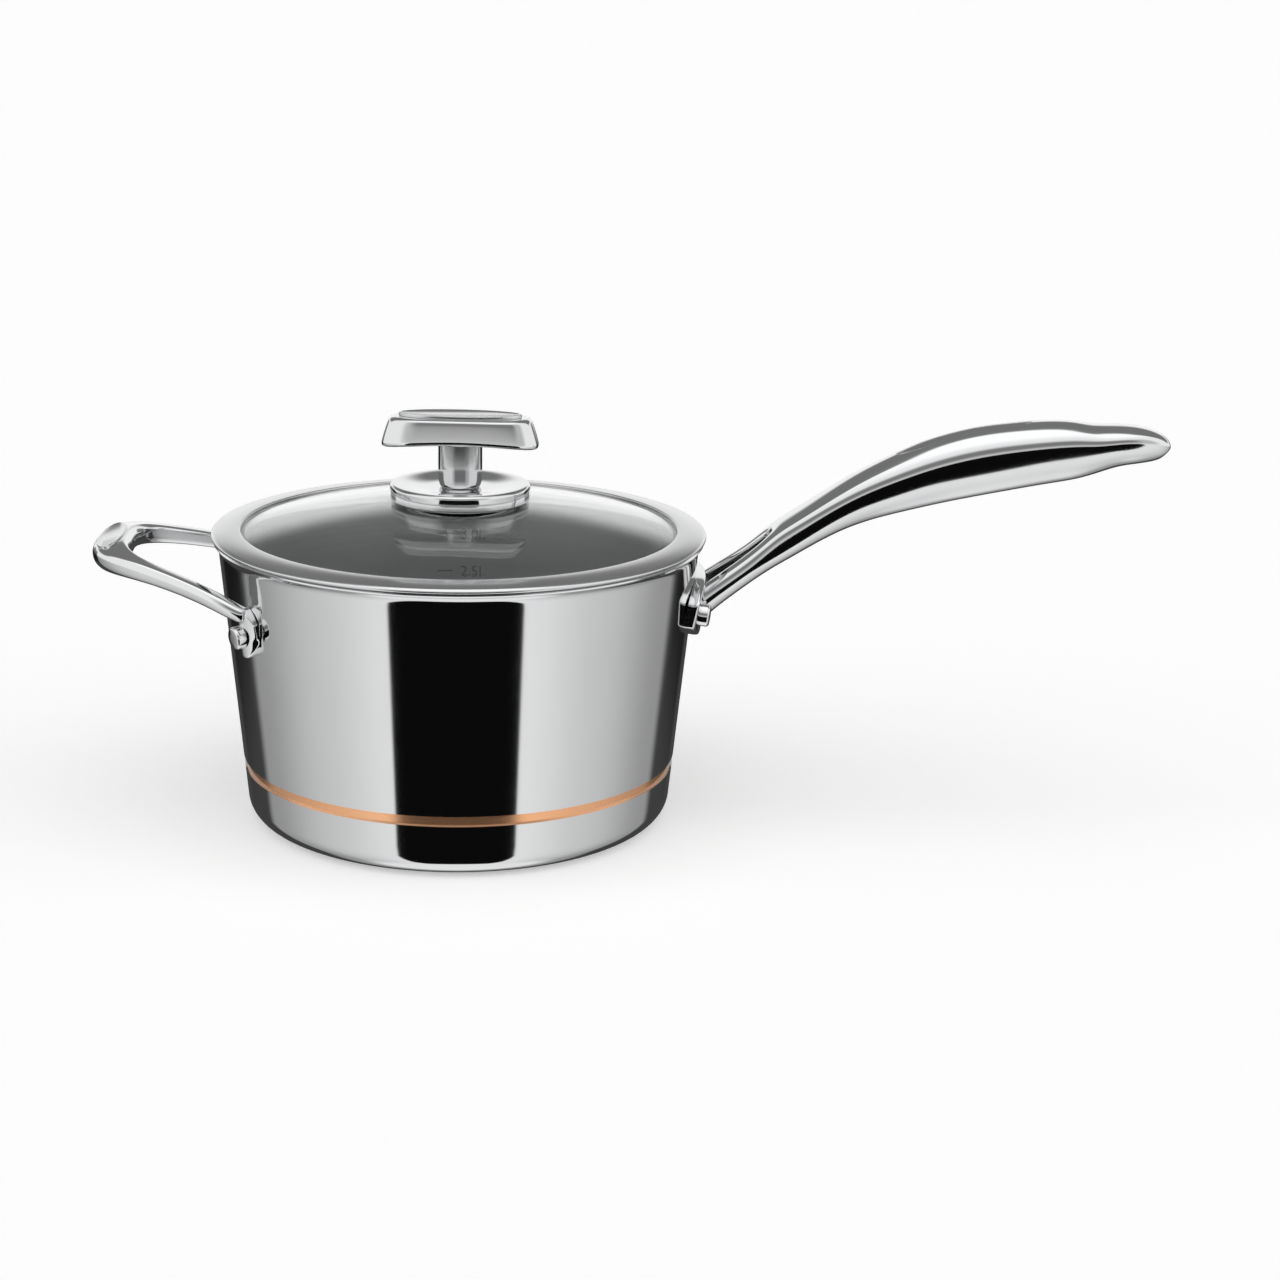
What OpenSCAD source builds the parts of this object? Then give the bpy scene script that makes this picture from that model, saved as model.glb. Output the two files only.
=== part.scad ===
// Saucepan with a steel-rimmed glass lid, a forked long handle and a helper handle.
// Millimetres, +Z up. The origin is the centre of the flat base, on the surface the pan
// stands on. The long handle points along +X and the helper handle along -X.

/* [Pan] */
// Radius at which the line of the outside wall would meet the base plane
foot_r = 90.6; // [85:0.1:95]
// Lean of the wall away from upright, in degrees
wall_lean = 5.5; // [4:0.1:7]
// Radius of the rounded corner between the base and the wall
corner_r = 10; // [8:0.5:14]
// Height at which the straight wall ends and the pouring lip starts
lip_start = 117.6; // [112:0.1:122]
// Bending radius of the pouring lip
lip_r = 5; // [4:0.5:6]
// Angle through which the lip bends outwards, in degrees
lip_bend = 50; // [40:5:60]

/* [Plies] */
// Thickness of the outer steel
outer_steel_t = 0.5; // [0.4:0.05:0.6]
// Thickness of each aluminium ply
aluminium_t = 0.55; // [0.4:0.05:0.7]
// Thickness of the copper core
copper_t = 0.5; // [0.4:0.05:0.8]
// Thickness of the inner steel liner
liner_t = 0.5; // [0.4:0.05:0.6]
// Height of the lower edge of the groove that shows the copper
groove_z = 22.9; // [18:0.1:30]
// Width of that groove
groove_w = 4.5; // [3:0.1:6]

/* [Lid] */
// Outside radius of the lid's steel rim
rim_r = 105; // [104.6:0.1:106]
// Inside radius of the rim, where the glass shows
rim_inner_r = 92.7; // [90:0.1:94]
// Height of the rim's inner edge
rim_top_z = 125.8; // [125.4:0.1:126.2]
// Thickness of the glass
glass_t = 4; // [3.5:0.5:5]
// Height of the flat middle of the glass, on top
glass_mid_z = 136.8; // [135:0.1:138]

/* [Knob] */
// Angle at which the knob's bar stands when the lid is put on, in degrees
knob_angle = -5; // [-180:1:180]
// Radius of the flange that covers the hole in the glass
flange_r = 29.8; // [27:0.1:32]
// Height of the flange's highest ring
flange_top_z = 144.6; // [143:0.1:146]
// Radius of the stem
stem_r = 9.3; // [8:0.1:10]
// Height of the bar's flat seat on the stem
bar_seat_z = 162.6; // [160:0.1:165]
// Height of the flat on top of the bar
bar_top_z = 173; // [171:0.1:175]
// Half the length of the bar at its lower edge
bar_half_l = 33.3; // [30:0.1:36]
// Half the width of the bar at its lower edge
bar_half_w = 13; // [11:0.1:14]

/* [Handles] */
// Thickness of the riveted feet
foot_t = 5; // [4:0.5:6]
// Radius of a rivet's shank
rivet_shank_r = 3; // [2.5:0.1:3.5]
// Radius of a rivet's outer head
rivet_head_r = 4.75; // [4:0.05:5.5]
// Height of a rivet's outer head
rivet_head_h = 4; // [3:0.5:4.5]
// Height of the long handle's rivets, on the wall
long_rivet_z = 93; // [90:1:96]
// Turn of the long handle's rivets away from its middle, in degrees
long_rivet_turn = 12; // [11.5:0.5:13]
// Height of the helper handle's rivets, on the wall
helper_rivet_z = 92; // [90:1:94]
// Turn of the helper handle's rivets away from its middle, in degrees
helper_rivet_turn = 31.5; // [31:0.5:32]
// Radius of the hole that the pan hangs by
hang_r = 3.5; // [3:0.5:4]
// How far out the hanging hole is
hang_x = 279.5; // [278:0.5:281]

/* [Hidden] */

round_fn = 128;
fine_fn = 64;
steel = "silver";
satin = "gainsboro";
copper = [0.85, 0.5, 0.3];
aluminium = "lightgray";
rubber = [0.15, 0.15, 0.16];

// Depths of the plies below the outside face
d_steel = outer_steel_t;
d_outer_al = d_steel + aluminium_t;
d_copper = d_outer_al + copper_t;
d_inner_al = d_copper + aluminium_t;
wall_t = d_inner_al + liner_t;

// Radius of the outside wall at a height
function wall_r(z) = foot_r + z * tan(wall_lean);

// ---- The pan's section: a path of [r, z] points at a depth d below the outside face ----
corner_in = corner_r * (1 - sin(wall_lean)) / cos(wall_lean);
corner_c = [foot_r - corner_in, corner_r];
wall_end = [wall_r(lip_start), lip_start];
lip_c = wall_end + lip_r * [cos(wall_lean), -sin(wall_lean)];
corner_steps = 10;
lip_steps = 6;
function corner_point(d, i) =
    let (a = -90 + (90 - wall_lean) * i / corner_steps)
    corner_c + (corner_r - d) * [cos(a), sin(a)];
function lip_point(d, i) =
    let (a = 180 - wall_lean - lip_bend * i / lip_steps)
    lip_c + (lip_r + d) * [cos(a), sin(a)];
function wall_point(d, z) =
    [wall_r(z), z] - d * [cos(wall_lean), -sin(wall_lean)];
function low_path(d, z_end) = concat([[0, d]],
    [for (i = [0:corner_steps]) corner_point(d, i)], [wall_point(d, z_end)]);
function high_path(d, z_start) = concat([wall_point(d, z_start)],
    [for (i = [0:lip_steps]) lip_point(d, i)]);
function full_path(d) = concat([[0, d]],
    [for (i = [0:corner_steps]) corner_point(d, i)], [for (i = [0:lip_steps]) lip_point(d, i)]);
function back(list) = [for (i = [len(list) - 1:-1:0]) list[i]];
module turned(section) {
    rotate_extrude($fn = round_fn) polygon(section);
}
module ply(d1, d2) { turned(concat(full_path(d1), back(full_path(d2)))); }
module low_ply(d1, d2) {
    turned(concat(low_path(d1, groove_z), back(low_path(d2, groove_z))));
}
module high_ply(d1, d2) {
    start = groove_z + groove_w;
    turned(concat(high_path(d1, start), back(high_path(d2, start))));
}
lip_high = lip_point(wall_t, lip_steps);

// ---- Rivets, along the wall's normal ----
// Puts children with their z = 0 on the outside wall and their +Z along its normal
module on_wall(turn, z) {
    rotate([0, 0, turn]) translate([wall_r(z), 0, z]) rotate([0, 90 + wall_lean, 0]) children();
}
inner_head_r = 7;
inner_head_h = 1.6;
rivet_reach = 20;
module rivet_hole(turn, z) {
    on_wall(turn, z) translate([0, 0, -rivet_reach / 2])
        cylinder(r = rivet_shank_r, h = rivet_reach, $fn = fine_fn);
}
module rivet_holes(side_turn, turn, z) {
    for (s = [-1, 1]) rivet_hole(side_turn + s * turn, z);
}
module all_rivet_holes() {
    rivet_holes(0, long_rivet_turn, long_rivet_z);
    rivet_holes(180, helper_rivet_turn, helper_rivet_z);
}
// The space inside the pan, down to the liner's face
module pan_space() { turned(concat(full_path(wall_t), [[0, lip_high[1]]])); }
// Everything within the pan's outside face
module pan_block() { turned(concat(full_path(0), [lip_high, [0, lip_high[1]]])); }
// The outer heads bear on flat round seats sunk in the feet
seat_r = rivet_head_r + 0.4;
seat_z = foot_t - 0.35;
module rivet_seats(side_turn, turn, z) {
    for (s = [-1, 1]) on_wall(side_turn + s * turn, z)
        translate([0, 0, seat_z]) cylinder(r = seat_r, h = 7, $fn = fine_fn);
}
head_round = 0.8;
module rivet(turn, z) {
    color(steel) {
        on_wall(turn, z) {
            translate([0, 0, -wall_t])
                cylinder(r = rivet_shank_r, h = wall_t + seat_z, $fn = fine_fn);
            translate([0, 0, seat_z]) rotate_extrude($fn = fine_fn) polygon(concat(
                [[0, 0], [rivet_head_r, 0]],
                [for (a = [0:22.5:90]) [rivet_head_r - head_round * (1 - cos(a)),
                    rivet_head_h - head_round * (1 - sin(a))]],
                [[0, rivet_head_h]]));
        }
        intersection() {
            pan_space();
            on_wall(turn, z) translate([0, 0, -wall_t - inner_head_h]) rotate_extrude($fn = fine_fn)
                polygon([[0, 0], [inner_head_r - 1.5, 0], [inner_head_r, 1], [inner_head_r, 4],
                    [0, 4]]);
        }
    }
}

// ---- Pan nodes ----
module pan_ply(d1, d2, tint) {
    color(tint) difference() {
        ply(d1, d2);
        all_rivet_holes();
    }
}
module inner_steel_liner() { pan_ply(d_inner_al, wall_t, satin); }
module inner_aluminium_ply() { pan_ply(d_copper, d_inner_al, aluminium); }
module copper_core() { pan_ply(d_outer_al, d_copper, copper); }
module outer_aluminium_ply() {
    color(aluminium) {
        low_ply(d_steel, d_outer_al);
        difference() {
            high_ply(d_steel, d_outer_al);
            all_rivet_holes();
        }
    }
}
module outer_steel_wall() {
    color(steel) difference() {
        high_ply(0, d_steel);
        all_rivet_holes();
    }
}
module outer_steel_base() { color(steel) low_ply(0, d_steel); }

// ---- Lofts: closed skins through rings of points ----
// A rounded ring of n points with half sizes a and b; e of 2 is an ellipse, more is squarer
function sgn_pow(v, p) = sign(v) * pow(abs(v), p);
function ring2(a, b, e, n) = [for (i = [0:n - 1]) let (t = 360 * i / n)
    [a * sgn_pow(cos(t), 2 / e), b * sgn_pow(sin(t), 2 / e)]];
// Smooth values between the rows of a list, for u from 0 to the last row's number
function row(list, i) = list[max(0, min(len(list) - 1, i))];
function blend(list, u) =
    let (i = min(floor(u), len(list) - 2), t = u - i,
        p0 = row(list, i - 1), p1 = list[i], p2 = list[i + 1], p3 = row(list, i + 2))
    0.5 * (2 * p1 + (p2 - p0) * t + (2 * p0 - 5 * p1 + 4 * p2 - p3) * t * t
        + (3 * p1 - p0 - 3 * p2 + p3) * t * t * t);
// The rings run anticlockwise when the path comes towards the eye
module loft(rings) {
    m = len(rings);
    n = len(rings[0]);
    points = [for (r = rings) each r];
    sides = [for (j = [0:m - 2], i = [0:n - 1]) let (k = (i + 1) % n, a = j * n + i,
            b = j * n + k, c = (j + 1) * n + k, d = (j + 1) * n + i)
        each [[a, c, b], [a, d, c]]];
    polyhedron(points, concat([[for (i = [0:n - 1]) i]], sides,
        [back([for (i = [0:n - 1]) (m - 1) * n + i])]));
}

// ---- Long handle ----
// Rows of the grip from the fork to the tip: [x, z, half width, half depth, squareness]
grip = [[136.5, 118.6, 10.9, 7.2, 4.5], [141, 121.8, 10.9, 7.4, 4], [149, 126.8, 11, 7.6, 3.2],
    [160, 133.3, 11.2, 8.2, 2.6], [174, 140.4, 11.8, 10.2, 2.3], [190, 146.2, 12.8, 12.1, 2.25],
    [208, 152.2, 13.6, 13.9, 2.2], [227, 156.2, 14, 14.3, 2.2], [245, 158.8, 14, 13.5, 2.2],
    [257, 160.2, 13.8, 12.9, 2.2], [265, 160.6, 13.2, 12, 2.2], [271, 161, 12.6, 10.4, 2.3],
    [278, 162.6, 12.2, 8.2, 2.4], [286, 163, 12, 8.5, 2.4], [293, 163.3, 10.6, 7.2, 2.4],
    [299, 163.1, 8.4, 4.8, 2.4], [302.6, 162, 5.4, 2.4, 2.4], [304, 161.2, 2.6, 0.8, 2.4]];
grip_steps = 2;
grip_n = 24;
// A cross ring of the grip, square to its path
function grip_ring(u) =
    let (p = blend(grip, u), q = blend(grip, u + 0.02) - blend(grip, max(0, u - 0.02)),
        a = atan2(q[1], q[0]))
    [for (c = ring2(p[2], p[3], p[4], grip_n))
        [p[0] - c[1] * sin(a), c[0], p[1] + c[1] * cos(a)]];
module grip_body() {
    last = len(grip) - 1;
    loft([for (i = [0:last * grip_steps]) grip_ring(min(i / grip_steps, last - 0.02))]);
}
// Rows of one arm of the fork, from inside the pan's wall to inside the grip
arm = [[93, 11, 86.6, 3.7, 7], [99, 11.4, 91.6, 3.7, 6.2], [106, 11.4, 97, 3.6, 5.9],
    [116, 10.2, 104, 3.6, 5.7], [128, 8, 112.3, 3.7, 5.7], [138, 6.6, 119, 3.8, 5.9],
    [146, 5.9, 124.2, 3.6, 5.4], [153, 5.6, 128.6, 3.2, 4.4]];
arm_steps = 2;
arm_n = 20;
function arm_ring(u) =
    let (p = blend(arm, u), q = blend(arm, u + 0.02) - blend(arm, max(0, u - 0.02)),
        a = atan2(q[2], q[0]))
    [for (c = ring2(p[3], p[4], 2.8, arm_n))
        [p[0] - c[1] * sin(a), p[1] + c[0], p[2] + c[1] * cos(a)]];
module fork_arm() {
    last = len(arm) - 1;
    loft([for (i = [0:last * arm_steps]) arm_ring(min(i / arm_steps, last - 0.02))]);
}
// A layer over the outside wall, as thick as a riveted foot
module foot_layer() {
    turned([[wall_r(70), 70], [wall_r(70) + foot_t / cos(wall_lean), 70],
        [wall_r(116) + foot_t / cos(wall_lean), 116], [wall_r(116), 116]]);
}
// The outline of the long handle's foot, as [y, z]
long_foot_half = 33;
long_foot_low = 83;
long_foot_high = 107;
module long_foot_outline() {
    r = (long_foot_high - long_foot_low) / 2;
    for (s = [-1, 1]) translate([s * (long_foot_half - r), long_foot_low + r]) circle(r = r, $fn = fine_fn);
    translate([-(long_foot_half - r), long_foot_low]) square([2 * (long_foot_half - r), 2 * r]);
}
module long_foot() {
    intersection() {
        foot_layer();
        translate([80, 0, 0]) rotate([90, 0, 90]) linear_extrude(height = 40) long_foot_outline();
    }
}
// The scooped hanging hole; both scoops are parts of spheres
scoop_r = 20;
scoop_top_z = 166.9;
scoop_low_z = 157.9;
module hang_hole() {
    translate([hang_x, 0, 140]) cylinder(r = hang_r, h = 40, $fn = fine_fn);
    translate([hang_x, 0, scoop_top_z + scoop_r]) sphere(r = scoop_r, $fn = fine_fn);
    translate([hang_x, 0, scoop_low_z - scoop_r]) sphere(r = scoop_r, $fn = fine_fn);
}
// The oval badge set in the grip: a curved plate between two depths of the grip's own skin
badge_from = 5;
badge_to = 8.06;
badge_half_w = 7;
badge_n = 13;
badge_sink = 0.8;
badge_rise = 0.35;
function badge_row(i, lift) =
    let (s = -1 + 2 * i / (badge_n - 1), u = (badge_from + badge_to) / 2
            + s * (badge_to - badge_from) / 2,
        p = blend(grip, u), q = blend(grip, u + 0.02) - blend(grip, u - 0.02),
        a = atan2(q[1], q[0]), w = badge_half_w * sqrt(max(0.004, 1 - s * s)))
    [for (j = [0:8]) let (y = w * (j / 4 - 1), top = p[3] * sqrt(1 - pow(y / p[2], 2)) + lift)
        [p[0] - top * sin(a), y, p[1] + top * cos(a)]];
module handle_badge_body() {
    loft([for (i = [0:badge_n - 1])
        concat(badge_row(i, -badge_sink), back(badge_row(i, badge_rise)))]);
}
module long_handle() {
    color(steel) difference() {
        union() {
            grip_body();
            fork_arm();
            mirror([0, 1, 0]) fork_arm();
            long_foot();
        }
        pan_block();
        hang_hole();
        rivet_holes(0, long_rivet_turn, long_rivet_z);
        rivet_seats(0, long_rivet_turn, long_rivet_z);
    }
}
module long_handle_badge() { color(satin) handle_badge_body(); }
module long_handle_rivet_front() { rivet(-long_rivet_turn, long_rivet_z); }
module long_handle_rivet_rear() { rivet(long_rivet_turn, long_rivet_z); }

// ---- Helper handle ----
// Rows of one half of the loop, from the middle of its end to the foot:
// [x, y, z, half width in plan, half height]
loop_rows = [[-145.8, -1, 115.5, 8.3, 5.7], [-145.8, 10, 115.6, 8.2, 5.7], [-143.9, 21, 116, 7.5, 5.4],
    [-137, 30.6, 115.2, 5.2, 4.5], [-125, 37, 112.8, 4.2, 3.2], [-111, 44, 109.2, 4.1, 2.8],
    [-101, 49.6, 106, 4.2, 2.8], [-95, 52.4, 103.4, 4.2, 2.9], [-89.5, 54, 100.8, 4.2, 3],
    [-86.5, 54.5, 100.4, 4.2, 2.9]];
// Lean of the loop's top face away from the pan, in degrees
loop_lean = 12;
loop_up = [-tan(loop_lean), 0, 1];
loop_steps = 3;
loop_n = 24;
function unit(v) = v / norm(v);
function loop_ring(u) =
    let (p = blend(loop_rows, u), q = blend(loop_rows, u + 0.02)
            - blend(loop_rows, max(0, u - 0.02)),
        t = unit([q[0], q[1], q[2]]), side = unit(cross(loop_up, t)), up = cross(t, side))
    [for (c = ring2(p[3], p[4], 2.5, loop_n)) [p[0], p[1], p[2]] + c[0] * side + c[1] * up];
module loop_half() {
    last = len(loop_rows) - 1;
    loft([for (i = [0:last * loop_steps]) loop_ring(min(i / loop_steps, last - 0.02))]);
}
helper_foot_half = 6.8;
helper_foot_low = 82;
helper_foot_high = 104;
module helper_foot(turn) {
    intersection() {
        foot_layer();
        rotate([0, 0, turn]) translate([80, 0, 0]) rotate([90, 0, 90])
            linear_extrude(height = 40) {
                translate([0, helper_foot_low + helper_foot_half])
                    circle(r = helper_foot_half, $fn = fine_fn);
                translate([-helper_foot_half, helper_foot_low + helper_foot_half])
                    square([2 * helper_foot_half,
                        helper_foot_high - helper_foot_low - helper_foot_half]);
            }
    }
}
// The oval badge sunk in the top of the loop's end, leaning with it
helper_badge_sink = 1.8;
helper_badge_t = 2.2;
helper_badge_half_x = 5.6;
helper_badge_half_y = 22;
module helper_badge_body() {
    middle = [loop_rows[0][0], 0, loop_rows[0][2]];
    translate(middle) rotate([0, -loop_lean, 0])
        translate([0, 0, loop_rows[0][4] - helper_badge_sink]) linear_extrude(height = helper_badge_t)
            polygon(ring2(helper_badge_half_x, helper_badge_half_y, 2, 48));
}
module helper_handle() {
    color(steel) difference() {
        union() {
            loop_half();
            mirror([0, 1, 0]) loop_half();
            for (s = [-1, 1]) helper_foot(180 + s * helper_rivet_turn);
        }
        pan_block();
        rivet_holes(180, helper_rivet_turn, helper_rivet_z);
        rivet_seats(180, helper_rivet_turn, helper_rivet_z);
        helper_badge_body();
    }
}
module helper_handle_badge() { color(satin) helper_badge_body(); }
module helper_handle_rivet_front() { rivet(180 + helper_rivet_turn, helper_rivet_z); }
module helper_handle_rivet_rear() { rivet(180 - helper_rivet_turn, helper_rivet_z); }

// ---- Lid ----
plate_t = 1;
skirt_r = 97.9;
skirt_low_z = 117.4;
hook_r = 91.6;
glass_edge_r = skirt_r - plate_t;
glass_top_edge = rim_top_z - plate_t - 0.2;
glass_mid_r = 26;
// Height of the domed top of the glass at a radius
glass_round = (pow(rim_inner_r, 2) - pow(glass_mid_r, 2)) / (2 * (glass_mid_z - glass_top_edge));
function glass_top(r) = glass_mid_z - (r * r - glass_mid_r * glass_mid_r) / (2 * glass_round);
module lid_glass() {
    r_list = [glass_mid_r, 34, 42, 50, 58, 66, 74, 82, 89];
    flat_z = glass_top(rim_inner_r);
    color([0.8, 0.9, 0.9, 0.4]) difference() {
        turned(concat([[0, glass_mid_z]], [for (r = r_list) [r, glass_top(r)]],
            [[rim_inner_r - 1, flat_z], [glass_edge_r, flat_z], [glass_edge_r, flat_z - glass_t],
                [rim_inner_r - 1.5, flat_z - glass_t]],
            [for (r = back(r_list)) [r, glass_top(r) - glass_t]], [[0, glass_mid_z - glass_t]]));
        translate([0, 0, glass_mid_z - 2 * glass_t])
            cylinder(r = glass_hole_r, h = 3 * glass_t, $fn = fine_fn);
    }
}
// The rim is one rolled strip: a plate over the glass, a turned-down edge, and a skirt that
// drops inside the pan and turns in under the glass
module lid_rim() {
    glass_low = glass_top(rim_inner_r) - glass_t;
    glass_high = glass_top(rim_inner_r);
    edge_z = lip_high[1] + plate_t;
    crown = [for (t = [0:0.125:1]) let (r = rim_inner_r + 0.5 + (rim_r - 1.3 - rim_inner_r) * t)
        [r, rim_top_z + 0.05 - (rim_top_z - edge_z - 0.15) * pow(t, 2.2)]];
    color(satin) turned(concat(
        [[rim_inner_r, glass_high], [rim_inner_r, rim_top_z - 0.3], [rim_inner_r + 0.2, rim_top_z]],
        crown,
        [[rim_r - 0.3, edge_z - 0.15], [rim_r, edge_z - 0.6], [rim_r, edge_z - 1.1],
            [rim_r - 0.3, edge_z - 1.4], [rim_r - 0.9, edge_z - 1.4],
            [rim_r - 1.2, lip_high[1]], [skirt_r, lip_high[1]],
            [skirt_r, skirt_low_z + 1], [skirt_r - 0.5, skirt_low_z + 0.3],
            [skirt_r - 1.2, skirt_low_z], [hook_r, skirt_low_z], [hook_r, skirt_low_z + plate_t],
            [glass_edge_r - 0.6, skirt_low_z + plate_t], [glass_edge_r, skirt_low_z + plate_t + 0.6],
            [glass_edge_r, glass_high]]));
    // The turned-in strip carries the glass on a raised bead
    color(satin) turned([[hook_r + 1, skirt_low_z + plate_t], [hook_r + 3.4, skirt_low_z + plate_t],
        [hook_r + 2.8, glass_low], [hook_r + 1.6, glass_low]]);
}

// ---- Knob ----
glass_hole_r = 4;
gasket_t = 1;
gasket_r = 25;
flange_low_z = glass_mid_z + gasket_t;
dish_z = flange_top_z - 1.5;
screw_r = 2.5;
module knob_upper_gasket() {
    color(rubber) translate([0, 0, glass_mid_z]) difference() {
        cylinder(r = gasket_r, h = gasket_t, $fn = round_fn);
        translate([0, 0, -1]) cylinder(r = glass_hole_r, h = gasket_t + 2, $fn = fine_fn);
    }
}
module knob_flange() {
    mid_z = (flange_top_z + flange_low_z - 0.4) / 2;
    edge = (flange_top_z - flange_low_z + 0.4) / 2;
    color(steel) difference() {
        turned(concat([[0, flange_low_z], [gasket_r + 0.4, flange_low_z],
                [gasket_r + 0.4, flange_low_z - 0.4]],
            [for (a = [-90:15:90]) [flange_r - edge * (1 - cos(a)), mid_z + edge * sin(a)]],
            [for (t = [0.2:0.2:1]) [(flange_r - edge) * (1 - t) + 12 * t,
                flange_top_z - (flange_top_z - dish_z) * (1 - cos(180 * t)) / 2]],
            [[0, dish_z]]));
        translate([0, 0, flange_low_z - 1]) cylinder(r = glass_hole_r, h = 10, $fn = fine_fn);
        translate([0, 0, dish_z - 2]) cylinder(r = stem_r - 1.6, h = 10, $fn = fine_fn);
    }
}
spigot_r = 5;
spigot_h = 4;
module knob_stem() {
    foot_z = dish_z - 2;
    color(steel) difference() {
        rotate_extrude($fn = fine_fn) polygon(concat([[0, foot_z], [stem_r - 1.6, foot_z],
                [stem_r - 1.6, dish_z]],
            [for (a = [0:18:90]) [stem_r - 1.6 * (1 - sin(a)), dish_z + 4 * (1 - cos(a))]],
            [[stem_r, bar_seat_z], [spigot_r, bar_seat_z], [spigot_r, bar_seat_z + spigot_h],
                [0, bar_seat_z + spigot_h]]));
        translate([0, 0, foot_z - 1]) cylinder(r = screw_r, h = screw_top_z - foot_z + 1.5, $fn = fine_fn);
    }
}
// The bar is a skin of flat-lying rings; arch lowers the ends
bar_n = 48;
function bar_ring(half_l, half_w, z, arch) = [for (c = ring2(half_l, half_w, 3.2, bar_n))
    [c[0], c[1], z - arch * pow(c[0] / bar_half_l, 2)]];
module knob_bar() {
    l = bar_half_l;
    w = bar_half_w;
    seat = bar_seat_z;
    top = bar_top_z;
    rings = [bar_ring(stem_r + 3, stem_r + 1.2, seat, 0), bar_ring(l * 0.6, w * 0.88, seat, 0.6),
        bar_ring(l - 3.4, w - 1.2, seat - 0.1, 2), bar_ring(l - 1.6, w - 0.5, seat - 0.2, 2.5),
        bar_ring(l - 0.5, w - 0.1, seat + 0.1, 2.5), bar_ring(l, w, seat + 0.7, 2.5),
        bar_ring(l - 0.5, w - 0.25, seat + 2.6, 2.2), bar_ring(l - 1.5, w - 0.7, seat + 5.2, 1.5),
        bar_ring(l - 2.7, w - 1.2, seat + 7.8, 0.9), bar_ring(l - 3.2, w - 1.4, top - 1, 0.7),
        bar_ring(l - 3.6, w - 1.8, top - 0.45, 0.55), bar_ring(l - 4.2, w - 2.4, top - 0.2, 0.35),
        bar_ring(l - 5.6, w - 3.4, top, 0)];
    color(steel) rotate([0, 0, knob_angle]) difference() {
        loft(rings);
        translate([0, 0, seat - 1]) cylinder(r = spigot_r, h = spigot_h + 1, $fn = fine_fn);
    }
}
module knob_badge() {
    color(satin) rotate([0, 0, knob_angle]) translate([0, 0, bar_top_z]) {
        linear_extrude(height = 1) polygon(ring2(26, 8.6, 2.2, 64));
        translate([0, 0, 1]) linear_extrude(height = 0.5) polygon(ring2(25.2, 7.8, 2.2, 64));
    }
}
washer_t = 1;
lock_t = 0.9;
screw_head_h = 2.6;
glass_low_z = glass_mid_z - glass_t;
screw_seat_z = glass_low_z - gasket_t - washer_t - lock_t;
screw_top_z = 156;
module knob_lower_gasket() {
    color(rubber) translate([0, 0, glass_low_z - gasket_t]) difference() {
        cylinder(r = 9, h = gasket_t, $fn = fine_fn);
        translate([0, 0, -1]) cylinder(r = glass_hole_r, h = gasket_t + 2, $fn = fine_fn);
    }
}
module knob_washer() {
    color(steel) translate([0, 0, glass_low_z - gasket_t - washer_t]) difference() {
        cylinder(r = 7.5, h = washer_t, $fn = fine_fn);
        translate([0, 0, -1]) cylinder(r = screw_r + 0.2, h = washer_t + 2, $fn = fine_fn);
    }
}
// A split ring, shown pressed flat
module knob_lock_washer() {
    color(steel) translate([0, 0, screw_seat_z]) difference() {
        cylinder(r = 4.6, h = lock_t, $fn = fine_fn);
        translate([0, 0, -1]) cylinder(r = screw_r + 0.2, h = lock_t + 2, $fn = fine_fn);
        translate([0, -0.4, -1]) cube([10, 0.8, lock_t + 2]);
    }
}
module knob_screw() {
    color(steel) difference() {
        rotate_extrude($fn = fine_fn) polygon([[0, screw_seat_z - screw_head_h],
            [3.4, screw_seat_z - screw_head_h], [4.2, screw_seat_z - 1.8], [4.7, screw_seat_z - 0.8],
            [4.7, screw_seat_z], [screw_r, screw_seat_z], [screw_r, screw_top_z],
            [0, screw_top_z]]);
        for (a = [0, 90]) rotate([0, 0, a]) translate([-2.6, -0.5, screw_seat_z - screw_head_h - 1])
            cube([5.2, 1, 2.4]);
    }
}

inner_steel_liner();
inner_aluminium_ply();
copper_core();
outer_aluminium_ply();
outer_steel_wall();
outer_steel_base();
long_handle();
long_handle_badge();
long_handle_rivet_front();
long_handle_rivet_rear();
helper_handle();
helper_handle_badge();
helper_handle_rivet_front();
helper_handle_rivet_rear();
lid_rim();
lid_glass();
knob_bar();
knob_badge();
knob_stem();
knob_flange();
knob_upper_gasket();
knob_lower_gasket();
knob_washer();
knob_lock_washer();
knob_screw();
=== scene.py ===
"""Looks of the saucepan with a glass lid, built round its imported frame. Metres, +Z up."""

import math

import bmesh
import bpy
from mathutils import Matrix, Vector


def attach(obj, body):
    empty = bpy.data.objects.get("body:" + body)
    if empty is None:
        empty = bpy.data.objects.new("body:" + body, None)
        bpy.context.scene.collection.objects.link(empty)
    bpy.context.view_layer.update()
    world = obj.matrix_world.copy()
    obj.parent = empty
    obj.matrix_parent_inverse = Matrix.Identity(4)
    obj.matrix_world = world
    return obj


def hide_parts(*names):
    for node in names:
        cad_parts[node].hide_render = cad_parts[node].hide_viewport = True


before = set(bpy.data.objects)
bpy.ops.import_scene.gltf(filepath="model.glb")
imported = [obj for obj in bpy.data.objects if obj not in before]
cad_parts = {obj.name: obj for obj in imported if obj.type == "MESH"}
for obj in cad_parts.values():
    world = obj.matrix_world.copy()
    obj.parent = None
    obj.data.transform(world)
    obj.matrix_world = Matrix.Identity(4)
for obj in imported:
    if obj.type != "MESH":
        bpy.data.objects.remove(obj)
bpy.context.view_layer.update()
MM = 0.001

# ------------------------------------------------------------------------------------------
# Camera, floor and light
# ------------------------------------------------------------------------------------------
CAMERA_PLACE = (0.0, -1.052, 0.371)
CAMERA_YAW = 4.237
CAMERA_PITCH = 15.663
CAMERA_ROLL = 1.237
CAMERA_LENS = 70.98


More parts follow.
